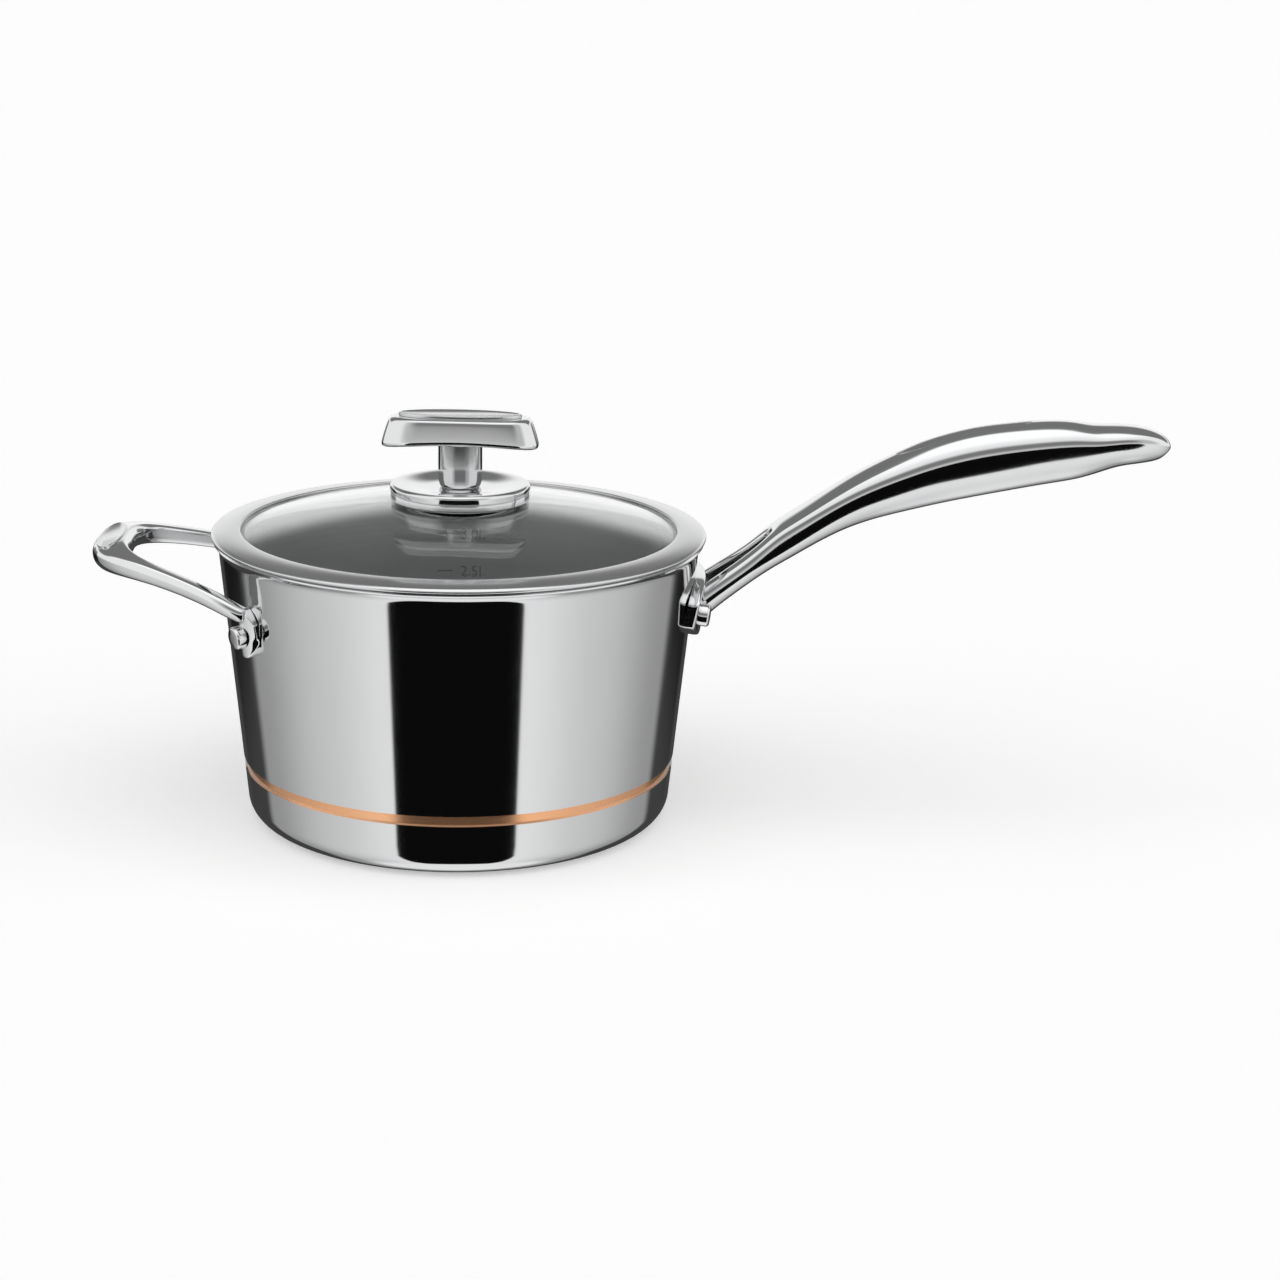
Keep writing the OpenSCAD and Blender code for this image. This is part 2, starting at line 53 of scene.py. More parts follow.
def make_camera():
    """Stands in front of the pan and looks a little to the right and down."""
    yaw, pitch, roll = (math.radians(a) for a in (CAMERA_YAW, CAMERA_PITCH, CAMERA_ROLL))
    ahead = Vector((math.sin(yaw), math.cos(yaw), 0))
    right = Vector((math.cos(yaw), -math.sin(yaw), 0))
    look = math.cos(pitch) * ahead - math.sin(pitch) * Vector((0, 0, 1))
    up = right.cross(look)
    side = math.cos(roll) * right + math.sin(roll) * up
    top = -math.sin(roll) * right + math.cos(roll) * up
    camera = bpy.data.objects.new("camera", bpy.data.cameras.new("camera"))
    bpy.context.scene.collection.objects.link(camera)
    camera.data.lens = CAMERA_LENS
    camera.data.sensor_width = 36
    turned = Matrix((side, top, -look)).transposed().to_4x4()
    camera.matrix_world = Matrix.Translation(CAMERA_PLACE) @ turned
    bpy.context.scene.camera = camera


# ------------------------------------------------------------------------------------------
# Shader writing: a wrapped socket adds its own Math nodes
# ------------------------------------------------------------------------------------------
class Value:
    """A number that a node gives. Sums and products of it are nodes too."""

    def __init__(self, tree, socket):
        self.tree = tree
        self.socket = socket

    def _math(self, operation, *others):
        node = self.tree.nodes.new("ShaderNodeMath")
        node.operation = operation
        for slot, part in zip(node.inputs, (self, *others)):
            if isinstance(part, Value):
                self.tree.links.new(part.socket, slot)
            else:
                slot.default_value = part
        return Value(self.tree, node.outputs[0])

    def __add__(self, other):
        return self._math("ADD", other)

    __radd__ = __add__

    def __sub__(self, other):
        return self._math("SUBTRACT", other)

    def __rsub__(self, other):
        return (self * -1.0) + other

    def __mul__(self, other):
        return self._math("MULTIPLY", other)

    __rmul__ = __mul__

    def __neg__(self):
        return self * -1.0

    def __abs__(self):
        return self._math("ABSOLUTE")

    def root(self):
        return self._math("SQRT")

    def angle(self, other):
        return self._math("ARCTAN2", other)

    def arcsine(self):
        return self._math("ARCSINE")

    def least(self, other):
        return self._math("MINIMUM", other)

    def most(self, other):
        return self._math("MAXIMUM", other)

    def held(self):
        """Kept between 0 and 1."""
        return self.least(1.0).most(0.0)

    def rise(self, low, high):
        """0 below low, 1 above high and smooth between."""
        t = ((self - low) * (1.0 / (high - low))).held()
        return t * t * (3.0 - 2.0 * t)


class Shader:
    """A node tree that is written to."""

    def __init__(self, owner):
        owner.use_nodes = True
        self.tree = owner.node_tree
        self.tree.nodes.clear()

    def node(self, kind, settings=None, inputs=None):
        """Adds a node, then its settings, then the values or links of its sockets."""
        made = self.tree.nodes.new("ShaderNode" + kind)
        for name, setting in (settings or {}).items():
            if name == "stops":
                self._stops(made.color_ramp, setting)
            else:
                setattr(made, name, setting)
        for name, given in (inputs or {}).items():
            slot = made.inputs[name]
            if isinstance(given, Value):
                self.tree.links.new(given.socket, slot)
            elif isinstance(given, bpy.types.NodeSocket):
                self.tree.links.new(given, slot)
            else:
                slot.default_value = given
        return made

    @staticmethod
    def _stops(ramp, stops):
        while len(ramp.elements) < len(stops):
            ramp.elements.new(0.5)
        for element, (place, colour) in zip(ramp.elements, stops):
            element.position = place
            element.color = (*colour, 1.0)

    def place(self, output="Object"):
        """X, Y and Z of the shaded point, or of the way looked in for the world."""
        coords = self.node("TexCoord")
        parts = self.node("SeparateXYZ", inputs={0: coords.outputs[output]})
        return [Value(self.tree, parts.outputs[i]) for i in range(3)]

    def vector(self, x, y, z):
        return self.node("CombineXYZ", inputs={0: x, 1: y, 2: z}).outputs[0]

    def noise(self, vector, scale, detail, rough):
        made = self.node("TexNoise", inputs={"Vector": vector, "Scale": scale,
                                             "Detail": detail, "Roughness": rough})
        return Value(self.tree, made.outputs["Fac"])

    def mix(self, share, first, second):
        made = self.node("Mix", {"data_type": "RGBA"}, {"Factor": share})
        for slot, given in ((made.inputs[6], first), (made.inputs[7], second)):
            if isinstance(given, bpy.types.NodeSocket):
                self.tree.links.new(given, slot)
            else:
                slot.default_value = (*given, 1.0)
        return made.outputs[2]

    def bump(self, height, depth, strength=1.0):
        made = self.node("Bump", inputs={"Height": height, "Distance": depth,
                                         "Strength": strength})
        return made.outputs[0]


def finish_material(name, write):
    """A material with one Principled shader; write gives the inputs that it takes."""
    material = bpy.data.materials.new(name)
    shader = Shader(material)
    inputs = write(shader)
    surface = shader.node("BsdfPrincipled", inputs=inputs)
    shader.node("OutputMaterial", inputs={"Surface": surface.outputs[0]})
    return material


# ------------------------------------------------------------------------------------------
# The studio: a bright tent with dark flags, seen only as reflections
# ------------------------------------------------------------------------------------------
def rounded_patch(across, up, centre, half, corner, soft):
    """1 inside a rounded box of directions, in radians, and 0 outside."""
    out_x = abs(across - centre[0]) - (half[0] - corner)
    out_y = abs(up - centre[1]) - (half[1] - corner)
    past_x, past_y = out_x.most(0.0), out_y.most(0.0)
    reach = (past_x * past_x + past_y * past_y).root() + out_x.most(out_y).least(0.0) - corner
    return 1.0 - reach.rise(-soft, soft)


def patch(across, up, left, right, low, high, corner, soft):
    """A rounded patch from its sides, in degrees."""
    left, right, low, high, corner, soft = (
        math.radians(a) for a in (left, right, low, high, corner, soft))
    centre = ((left + right) / 2, (low + high) / 2)
    half = ((right - left) / 2, (high - low) / 2)
    return rounded_patch(across, up, centre, half, corner, soft)


# Panels that darken the tent. Their left, right, low and high sides are directions in degrees, and
# level to the front is 0, 0. Then come the corner, the softness and the share of light taken.
# The back panels stand on both sides alike.
BACK_PANELS = {"sides": (126, 200, -55, -7, 8, 4, 0.84), "flanks": (130, 156, -20, 7, 5, 3, 0.8),
               "high": (100, 200, 17.5, 70, 12, 4.5, 0.8)}
FRONT_PANELS = {"flag": (-35.2, 31.2, -64, -3, 10, 0.7, 0.996),
                "grey": (-42, 48, -3, 40, 14, 8, 0.42), "strip": (-31, 29, 9, 34, 8, 6, 0.6)}


def make_studio():
    world = bpy.data.worlds.new("studio")
    bpy.context.scene.world = world
    shader = Shader(world)
    x, y, z = shader.place("Generated")
    across = x.angle(-y)  # 0 towards the front, positive to the right
    up = z.arcsine()
    degree = math.radians(1)
    aside = abs(across)
    low_light = (0.98 - 0.27 * aside.rise(30 * degree, 78 * degree)
                 - 0.34 * aside.rise(70 * degree, 122 * degree))
    high_light = 1.04 + 0.3 * up.rise(50 * degree, 75 * degree)
    above = up.rise(-9 * degree, -2 * degree)
    light = low_light + (high_light - low_light) * above
    nadir = (-up).rise(62 * degree, 72 * degree)
    light = light + (1.0 - low_light) * nadir
    for turned, panels in ((aside, BACK_PANELS), (across, FRONT_PANELS)):
        for *place, taken in panels.values():
            light = light * (1.0 - taken * patch(turned, up, *place))
    tent = shader.node("Background", inputs={"Strength": light, "Color": (1, 1, 1, 1)})
    plain = shader.node("Background", inputs={"Strength": 1.0, "Color": (0.985, 0.985, 0.985, 1)})
    path = shader.node("LightPath")
    seen = shader.node("MixShader", inputs={0: path.outputs["Is Camera Ray"],
                                            1: tent.outputs[0], 2: plain.outputs[0]})
    shader.node("OutputWorld", inputs={"Surface": seen.outputs[0]})
    bpy.context.scene.view_settings.view_transform = "Standard"


def make_floor():
    bpy.ops.object.select_all(action="DESELECT")
    bpy.ops.mesh.primitive_plane_add(size=60)
    floor = bpy.context.object
    floor.name = "floor"
    floor.data.materials.append(finish_material("pale_floor", lambda s: {
        "Base Color": (0.95, 0.95, 0.95, 1), "Roughness": 0.9, "Specular IOR Level": 0.1,
        "Emission Color": (1, 1, 1, 1), "Emission Strength": 0.28}))
    floor.visible_glossy = False  # the steel reflects the tent alone


# ------------------------------------------------------------------------------------------
# Materials
# ------------------------------------------------------------------------------------------
def mottle(shader, scale, detail=4.0, rough=0.6):
    """Even variation all over: wiping at a low scale, a moulded or etched skin at a high one."""
    x, y, z = shader.place()
    return shader.noise(shader.vector(x, y, z), scale, detail, rough)


def turned_lines(shader, across, along):
    """Fine lines that run round the Z axis, as a lathe or a polishing wheel leaves them."""
    x, y, z = shader.place()
    radius = (x * x + y * y).root()
    turn = y.angle(x)
    return shader.noise(shader.vector(radius * across, turn * along, z * across), 1.0, 4.0, 0.65)


def metal(shader, tint, rough, height, depth, strength):
    return {"Base Color": tint, "Metallic": 1.0, "Roughness": rough,
            "Normal": shader.bump(height, depth, strength)}


def write_polished(shader):
    lines = turned_lines(shader, 2600.0, 2.0)
    film = mottle(shader, 18.0)
    rough = 0.045 + 0.03 * film + 0.02 * lines
    tint = shader.mix(film, (0.70, 0.705, 0.71), (0.76, 0.765, 0.77))
    return metal(shader, tint, rough, lines, 0.000002, 0.35)


def write_cast(shader):
    x, y, z = shader.place()
    skin = mottle(shader, 95.0, 3.0, 0.5)
    hairs = shader.noise(shader.vector(x * 60.0, y * 2200.0, z * 2200.0), 1.0, 3.0, 0.6)
    film = mottle(shader, 22.0)
    rough = 0.05 + 0.04 * film + 0.02 * hairs
    tint = shader.mix(skin, (0.72, 0.725, 0.73), (0.77, 0.775, 0.78))
    return metal(shader, tint, rough, hairs + skin * 2.0, 0.000002, 0.4)


def write_satin(shader):
    lines = turned_lines(shader, 3400.0, 1.5)
    film = mottle(shader, 25.0)
    rough = 0.16 + 0.05 * lines + 0.04 * film
    tint = shader.mix(lines, (0.66, 0.665, 0.67), (0.76, 0.765, 0.77))
    return metal(shader, tint, rough, lines, 0.000004, 0.5)


def write_inside(shader):
    lines = turned_lines(shader, 1500.0, 1.2)
    coarse = turned_lines(shader, 420.0, 0.8)
    film = mottle(shader, 14.0)
    rough = 0.3 + 0.1 * lines + 0.06 * film
    tint = shader.mix(coarse * 0.6 + lines * 0.4, (0.38, 0.384, 0.388), (0.56, 0.565, 0.57))
    brushed = metal(shader, tint, rough, lines + coarse * 0.6, 0.000012, 0.6)
    return {**brushed, "Anisotropic": 0.4}


def write_copper(shader):
    lines = turned_lines(shader, 2400.0, 1.5)
    film = mottle(shader, 12.0)
    tint = shader.mix(film, (1.0, 0.56, 0.31), (0.95, 0.46, 0.23))
    rough = 0.13 + 0.07 * lines + 0.05 * film
    return {**metal(shader, tint, rough, lines, 0.000004, 0.5), "Metallic": 0.85}


def write_aluminium(shader):
    lines = turned_lines(shader, 1800.0, 2.0)
    tint = shader.mix(lines, (0.74, 0.745, 0.75), (0.84, 0.845, 0.85))
    return metal(shader, tint, 0.3 + 0.12 * lines, lines, 0.000005, 0.5)


def write_rubber(shader):
    grain = mottle(shader, 900.0)
    tint = shader.mix(grain, (0.02, 0.02, 0.022), (0.045, 0.045, 0.048))
    return {"Base Color": tint, "Roughness": 0.55 + 0.2 * grain,
            "Normal": shader.bump(grain, 0.00003, 0.5)}


def write_glass(shader):
    film = mottle(shader, 9.0)
    return {"Base Color": (0.975, 0.99, 0.985, 1), "Transmission Weight": 1.0, "IOR": 1.45,
            "Roughness": 0.0, "Normal": shader.bump(film, 0.00002, 0.15)}


def write_etched(shader):
    grain = mottle(shader, 1500.0, 3.0)
    tint = shader.mix(grain, (0.08, 0.08, 0.082), (0.14, 0.14, 0.142))
    return {"Base Color": tint, "Metallic": 0.3, "Roughness": 0.6 + 0.15 * grain}


def make_materials():
    writers = {"polished_steel": write_polished, "cast_steel": write_cast,
               "satin_steel": write_satin, "brushed_inside": write_inside,
               "copper": write_copper, "aluminium": write_aluminium, "gasket": write_rubber,
               "glass": write_glass, "etched_marks": write_etched}
    return {name: finish_material(name, write) for name, write in writers.items()}


# ------------------------------------------------------------------------------------------
# Modelling by hand, in edit mode
# ------------------------------------------------------------------------------------------
def begin(name, add, **sizes):
    """Adds a primitive as a new piece and opens it for editing, all selected."""
    bpy.ops.object.select_all(action="DESELECT")
    add(**sizes)
    piece = bpy.context.object
    piece.name = piece.data.name = name
    bpy.ops.object.mode_set(mode="EDIT")
    bpy.ops.mesh.select_all(action="SELECT")
    return piece


def pick(piece, kind, test):
    """Selects only the vertices, edges or faces whose middle passes the test."""
    bpy.ops.mesh.select_mode(type=kind)
    bpy.ops.mesh.select_all(action="DESELECT")
    mesh = bmesh.from_edit_mesh(piece.data)
    parts = {"VERT": mesh.verts, "EDGE": mesh.edges, "FACE": mesh.faces}[kind]
    for part in parts:
        if kind == "VERT":
            middle = part.co
        elif kind == "EDGE":
            middle = (part.verts[0].co + part.verts[1].co) / 2
        else:
            middle = part.calc_center_median()
        if test(middle, part):
            part.select_set(True)
    mesh.select_flush_mode()
    bmesh.update_edit_mesh(piece.data)


def turn(rotation, centre):
    """Turns what is selected about a point; the rotation is a 3 by 3 matrix."""
    for axis, angle in zip("XYZ", rotation.to_euler("XYZ")):
        if abs(angle) > 1e-7:
            bpy.ops.transform.rotate(value=-angle, orient_axis=axis, center_override=centre)


def scale_in(basis, sizes, centre):
    bpy.ops.transform.resize(value=sizes, orient_type="GLOBAL", orient_matrix=basis,
                             orient_matrix_type="GLOBAL", center_override=centre)


def move(offset):
    bpy.ops.transform.translate(value=offset)


def close_up(piece, merge=0.000005):
    """Merges doubles and makes the faces point outwards, then leaves edit mode."""
    bpy.ops.mesh.select_mode(type="VERT")
    bpy.ops.mesh.select_all(action="SELECT")
    bpy.ops.mesh.remove_doubles(threshold=merge)
    bpy.ops.mesh.normals_make_consistent(inside=False)
    bpy.ops.object.mode_set(mode="OBJECT")


def modify(piece, kind, **settings):
    """Adds a modifier, sets it and applies it."""
    bpy.context.view_layer.objects.active = piece
    made = piece.modifiers.new(kind.lower(), kind)
    for name, setting in settings.items():
        setattr(made, name, setting)
    bpy.ops.object.modifier_apply(modifier=made.name)


def smooth(piece, degrees=35):
    bpy.ops.object.select_all(action="DESELECT")
    piece.select_set(True)
    bpy.context.view_layer.objects.active = piece
    bpy.ops.object.shade_smooth_by_angle(angle=math.radians(degrees))


def subdivide(piece, levels=2):
    modify(piece, "SUBSURF", levels=levels, render_levels=levels)


def dress(piece, material, body, *nodes):
    """Gives a piece its finish, its body and the CAD nodes that it stands for."""
    piece.data.materials.clear()
    piece.data.materials.append(MATERIALS[material])
    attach(piece, body)
    if nodes:
        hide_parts(*nodes)
    return piece


def lathe(name, outline, steps=192, place=None):
    """Turns a closed outline of [radius, height] in millimetres round the Z axis.

    place turns and moves the finished shape to where it belongs."""
    piece = begin(name, bpy.ops.mesh.primitive_plane_add, size=0.001)
    bpy.ops.mesh.merge(type="CENTER")
    points = [Vector((r * MM, 0, z * MM)) for r, z in outline]
    move(points[0])
    for a, b in zip(points, points[1:]):
        bpy.ops.mesh.extrude_vertices_move(TRANSFORM_OT_translate={"value": b - a})
    if outline[0][0] > 0 or outline[-1][0] > 0:
        mesh = bmesh.from_edit_mesh(piece.data)
        mesh.verts.ensure_lookup_table()
        mesh.verts[0].select_set(True)
        bmesh.update_edit_mesh(piece.data)
        bpy.ops.mesh.edge_face_add()
    bpy.ops.mesh.select_all(action="SELECT")
    bpy.ops.mesh.spin(steps=steps, angle=2 * math.pi, center=(0, 0, 0), axis=(0, 0, 1))
    if place is not None:
        bpy.ops.mesh.select_all(action="SELECT")
        turn(place.to_3x3(), (0, 0, 0))
        move(place.translation)
    close_up(piece)
    return piece


def smooth_row(rows, u):
    """Smooth values between rows of numbers, for u from 0 to the last row's number."""
    i = min(int(u), len(rows) - 2)
    t = u - i
    before, first = rows[max(i - 1, 0)], rows[i]
    second, after = rows[i + 1], rows[min(i + 2, len(rows) - 1)]
    return [0.5 * (2 * b + (c - a) * t + (2 * a - 5 * b + 4 * c - d) * t * t
                   + (3 * b - a - 3 * c + d) * t ** 3)
            for a, b, c, d in zip(before, first, second, after)]


class Section:
    """A cross-section: its middle, its axes (side, top, ahead) and its half sizes."""

    def __init__(self, middle, ahead, top, half_side, half_top):
        ahead = ahead.normalized()
        side = top.cross(ahead).normalized()
        self.middle = middle
        self.basis = Matrix((side, ahead.cross(side), ahead)).transposed()
        self.size = (half_side, half_top)


def lay_cap(section):
    """Brings a 2 by 2 flat grid at the origin to a section."""
    bpy.ops.transform.resize(value=(*section.size, 1), center_override=(0, 0, 0))
    turn(section.basis, (0, 0, 0))
    move(section.middle)


def extend(old, new):
    """Extrudes the selected faces from one section to the next."""
    bpy.ops.mesh.extrude_region_move(TRANSFORM_OT_translate={"value": new.middle - old.middle})
    turn(new.basis @ old.basis.transposed(), new.middle)
    ratio = (new.size[0] / old.size[0], new.size[1] / old.size[1], 1)
    scale_in(new.basis, ratio, new.middle)


# ------------------------------------------------------------------------------------------
# Dimensions of the pan, in millimetres
# ------------------------------------------------------------------------------------------
FOOT_R, WALL_LEAN, CORNER_R = 90.6, math.radians(5.5), 10.0
LIP_START, LIP_R, LIP_BEND = 117.6, 5.0, math.radians(50)
STEEL_T, ALUMINIUM_T, COPPER_T = 0.5, 0.55, 0.5
WALL_T = 2 * STEEL_T + 2 * ALUMINIUM_T + COPPER_T
GROOVE_Z, GROOVE_W = 22.9, 4.5
EDGE_T = 0.15
CORNER_STEPS, LIP_STEPS = 14, 12


def wall_r(z):
    return FOOT_R + z * math.tan(WALL_LEAN)


CORNER_IN = CORNER_R * (1 - math.sin(WALL_LEAN)) / math.cos(WALL_LEAN)
LIP_CENTRE = (wall_r(LIP_START) + LIP_R * math.cos(WALL_LEAN),
              LIP_START - LIP_R * math.sin(WALL_LEAN))


def corner_arc(depth):
    """The rounded corner between base and wall, at a depth below the outside face."""
    reach = math.pi / 2 - WALL_LEAN
    angles = [-math.pi / 2 + reach * i / CORNER_STEPS for i in range(CORNER_STEPS + 1)]
    return [[FOOT_R - CORNER_IN + (CORNER_R - depth) * math.cos(a),
             CORNER_R + (CORNER_R - depth) * math.sin(a)] for a in angles]


def lip_arc(depth):
    angles = [math.pi - WALL_LEAN - LIP_BEND * i / LIP_STEPS for i in range(LIP_STEPS + 1)]
    return [[LIP_CENTRE[0] + (LIP_R + depth) * math.cos(a),
             LIP_CENTRE[1] + (LIP_R + depth) * math.sin(a)] for a in angles]


def on_wall(depth, z):
    return [wall_r(z) - depth * math.cos(WALL_LEAN), z + depth * math.sin(WALL_LEAN)]


def wall_steps(depth, low, high, count):
    return [on_wall(depth, low + (high - low) * i / count) for i in range(count + 1)]


def base_steps(depth, count=6):
    edge = FOOT_R - CORNER_IN
    return [[edge * i / count, depth] for i in range(count)]


def layer(low_path, high_path):
    """A closed outline between two faces of a ply."""
    return low_path + high_path[::-1]


def full_face(depth):
    return (base_steps(depth) + corner_arc(depth)
            + wall_steps(depth, CORNER_R + 4, LIP_START - 2, 6) + lip_arc(depth))


def low_face(depth):
    return base_steps(depth) + corner_arc(depth) + wall_steps(depth, CORNER_R + 3, GROOVE_Z, 3)


def high_face(depth):
    return wall_steps(depth, GROOVE_Z + GROOVE_W, LIP_START - 1.5, 6) + lip_arc(depth)


def lip_edge():
    """Thin strip of the outer steel, turned over the cut edges of the other plies."""
    ahead = math.pi - WALL_LEAN - LIP_BEND
    out_r, out_z = EDGE_T * math.sin(ahead), -EDGE_T * math.cos(ahead)
    covered = [lip_arc(depth)[-1] for depth in (0, WALL_T - STEEL_T)]
    return [[r + out_r, z + out_z] for r, z in covered] + [lip_arc(WALL_T)[-1]]


def make_pan():
    copper_out = STEEL_T + ALUMINIUM_T
    wall = lathe("pan_wall", high_face(0) + lip_edge() + high_face(STEEL_T)[::-1])
    dress(wall, "polished_steel", "pan", "outer_steel_wall")
    base = lathe("pan_base", layer(low_face(0), low_face(STEEL_T)))
    dress(base, "polished_steel", "pan", "outer_steel_base")
    band = lathe("copper_band", layer(full_face(copper_out), full_face(copper_out + COPPER_T)))
    dress(band, "copper", "pan", "copper_core")
    liner = lathe("cooking_surface", layer(full_face(WALL_T - STEEL_T), full_face(WALL_T)))
    dress(liner, "brushed_inside", "pan", "inner_steel_liner")
    for piece in (wall, base, band, liner):
        smooth(piece)


# ------------------------------------------------------------------------------------------
# Rivets
# ------------------------------------------------------------------------------------------
FOOT_T = 5.0
RIVET_HEAD_R, RIVET_HEAD_H, RIVET_SHANK_R = 4.75, 4.0, 3.0
INNER_HEAD_R, INNER_HEAD_H = 7.0, 1.6
RIVET_SINK, HEAD_ROUND, INNER_ROUND = 0.35, 1.2, 1.4
RIVETS = {"long_handle_rivet_front": (-12.0, 93.0), "long_handle_rivet_rear": (12.0, 93.0),
          "helper_handle_rivet_front": (211.5, 92.0), "helper_handle_rivet_rear": (148.5, 92.0)}


def wall_place(turn_deg, z):
    """The place on the outside wall where +Z runs along the wall's normal."""
    place = Matrix.Rotation(math.radians(turn_deg), 4, "Z")
    place = place @ Matrix.Translation((wall_r(z) * MM, 0, z * MM))
    return place @ Matrix.Rotation(math.pi / 2 + WALL_LEAN, 4, "Y")


def arc(centre_r, centre_z, radius, start, end, count):
    angles = [math.radians(start + (end - start) * i / count) for i in range(count + 1)]
    return [[centre_r + radius * math.cos(a), centre_z + radius * math.sin(a)] for a in angles]


def make_rivets():
    seat = FOOT_T - RIVET_SINK
    top = seat + RIVET_HEAD_H
    low = -WALL_T - INNER_HEAD_H
    outline = ([[0, low]]
               + arc(INNER_HEAD_R - INNER_ROUND - 0.1, low + INNER_ROUND, INNER_ROUND, -90, 0, 5)
               + [[INNER_HEAD_R - 0.1, -WALL_T - 0.1], [RIVET_SHANK_R, -WALL_T - 0.05],
                  [RIVET_SHANK_R, seat], [RIVET_HEAD_R, seat]]
               + arc(RIVET_HEAD_R - HEAD_ROUND, top - HEAD_ROUND, HEAD_ROUND, 0, 75, 6)
               + [[RIVET_HEAD_R * 0.4, top - 0.02], [0, top]])
    for node, (turn_deg, z) in RIVETS.items():
        rivet = lathe(node.replace("rivet", "rivet_head"), outline, 64, wall_place(turn_deg, z))
        smooth(dress(rivet, "polished_steel", "pan", node), 40)


# ------------------------------------------------------------------------------------------
# Long handle
# ------------------------------------------------------------------------------------------
# Rows of the grip from the tip to the fork: x, z, half width, half depth, squareness
GRIP = [(303.2, 160.9, 5.6, 2.4, 0.6), (302.0, 161.9, 8.3, 4.7, 0.5), (298, 162.9, 10.1, 6.5, 0.45),
        (290, 163.3, 11.6, 8.0, 0.4), (281, 162.9, 12.2, 8.6, 0.35), (272.5, 161.3, 12.6, 10.0, 0.25),
        (264, 160.6, 13.3, 12.2, 0.1), (254, 159.9, 13.9, 13.1, 0), (240, 158.2, 14.1, 13.8, 0),
        (222, 155.3, 13.9, 14.3, 0), (204, 151.0, 13.4, 13.6, 0), (188, 145.5, 12.7, 12.0, 0.12),
        (173, 139.9, 11.8, 10.1, 0.35), (160, 133.4, 11.2, 8.4, 0.7), (150, 127.4, 11.0, 7.7, 0.9),
        (142.5, 122.8, 10.9, 7.5, 1), (137.0, 119.2, 10.9, 7.3, 1)]
# Rows of one arm of the fork: x, y, z, half width, half depth
ARM = [(128, 8.0, 112.5, 3.7, 6.0), (118, 9.7, 105.6, 3.6, 5.9), (108, 11.0, 98.6, 3.7, 6.1),
       (103, 11.4, 94.8, 4.0, 6.6), (101, 11.4, 93.0, 4.2, 6.8)]
SIDE_GROWTH, DEPTH_GROWTH = 1 / 0.945, 1 / 0.985  # what subdivision takes off, put back
HANG_X, HANG_R, SCOOP_R, SCOOP_TOP, SCOOP_LOW = 279.5, 3.5, 20.0, 166.9, 157.9
UP = Vector((0, 0, 1))


def grip_sections():
    middles = [Vector((x, 0, z)) * MM for x, z, w, d, square in GRIP]
    sections = []
    for i, (x, z, w, d, square) in enumerate(GRIP):
        ahead = middles[min(i + 1, len(GRIP) - 1)] - middles[max(i - 1, 0)]
        sections.append(Section(middles[i], ahead, UP, w * MM * SIDE_GROWTH,
                                d * MM * DEPTH_GROWTH))
    return sections


def arm_sections(side):
    middles = [Vector((x, side * y, z)) * MM for x, y, z, w, d in ARM]
    last_grip = Vector((GRIP[-1][0], side * 7.3, GRIP[-1][1])) * MM
    points = [last_grip] + middles
    sections = []
    for i, (x, y, z, w, d) in enumerate(ARM):
        ahead = points[min(i + 2, len(ARM))] - points[i]
        ahead.y = 0
        sections.append(Section(middles[i], ahead, UP, w * MM, d * MM))
    return sections


# The grip's cross-section in half sizes, rows from the top: side of the inner points, side of the
# outer points and height of both
GRIP_ROWS = [(0.33, 1.025, 0.76, 0.80), (0.36, 0.34, 1.05, 0.34), (0.26, -0.43, 0.76, -0.43),
             (0.14, -1.0, 0.40, -0.96)]
# The same for a grip as square as the fork
FORK_ROWS = [(0.36, 1.0, 0.90, 0.86), (0.38, 0.40, 1.03, 0.40), (0.36, -0.36, 1.02, -0.36),
             (0.34, -1.0, 0.72, -0.92)]


def grip_rows(square):
    return [[a + (b - a) * square for a, b in zip(round_row, square_row)]
            for round_row, square_row in zip(GRIP_ROWS, FORK_ROWS)]


def reshape_cap(piece, section, old_rows, new_rows):
    """Moves the points of the selected cap from one cross-section to another."""
    side, top, ahead = section.basis.col
    mesh = bmesh.from_edit_mesh(piece.data)
    for vertex in mesh.verts:
        if vertex.select:
            off = vertex.co - section.middle
            x, y = off.dot(side) / section.size[0], off.dot(top) / section.size[1]
            i, k = min((abs(abs(x) - row[k]) + abs(y - row[k + 1]), i, k)
                       for i, row in enumerate(old_rows) for k in (0, 2))[1:]
            step_x = (new_rows[i][k] - old_rows[i][k]) * section.size[0]
            step_y = (new_rows[i][k + 1] - old_rows[i][k + 1]) * section.size[1]
            vertex.co += side * (math.copysign(1, x) * step_x) + top * step_y
    bmesh.update_edit_mesh(piece.data)


def shape_cap(piece, rows):
    """Draws a flat grid of four points a row to the cross-section that rows give."""
    steps = len(rows) - 1
    for i, (inner_x, inner_y, outer_x, outer_y) in enumerate(rows):
        height = 1 - 2 * i / steps
        for side in (-1, 1):
            for old, x, y in ((1 / 3, inner_x, inner_y), (1, outer_x, outer_y)):
                pick(piece, "VERT", lambda p, v: abs(p.x - side * old) < 0.05
                     and abs(p.y - height) < 0.05)
                move((side * (x - old), y - height, 0))
    bpy.ops.mesh.select_mode(type="FACE")
    bpy.ops.mesh.select_all(action="SELECT")


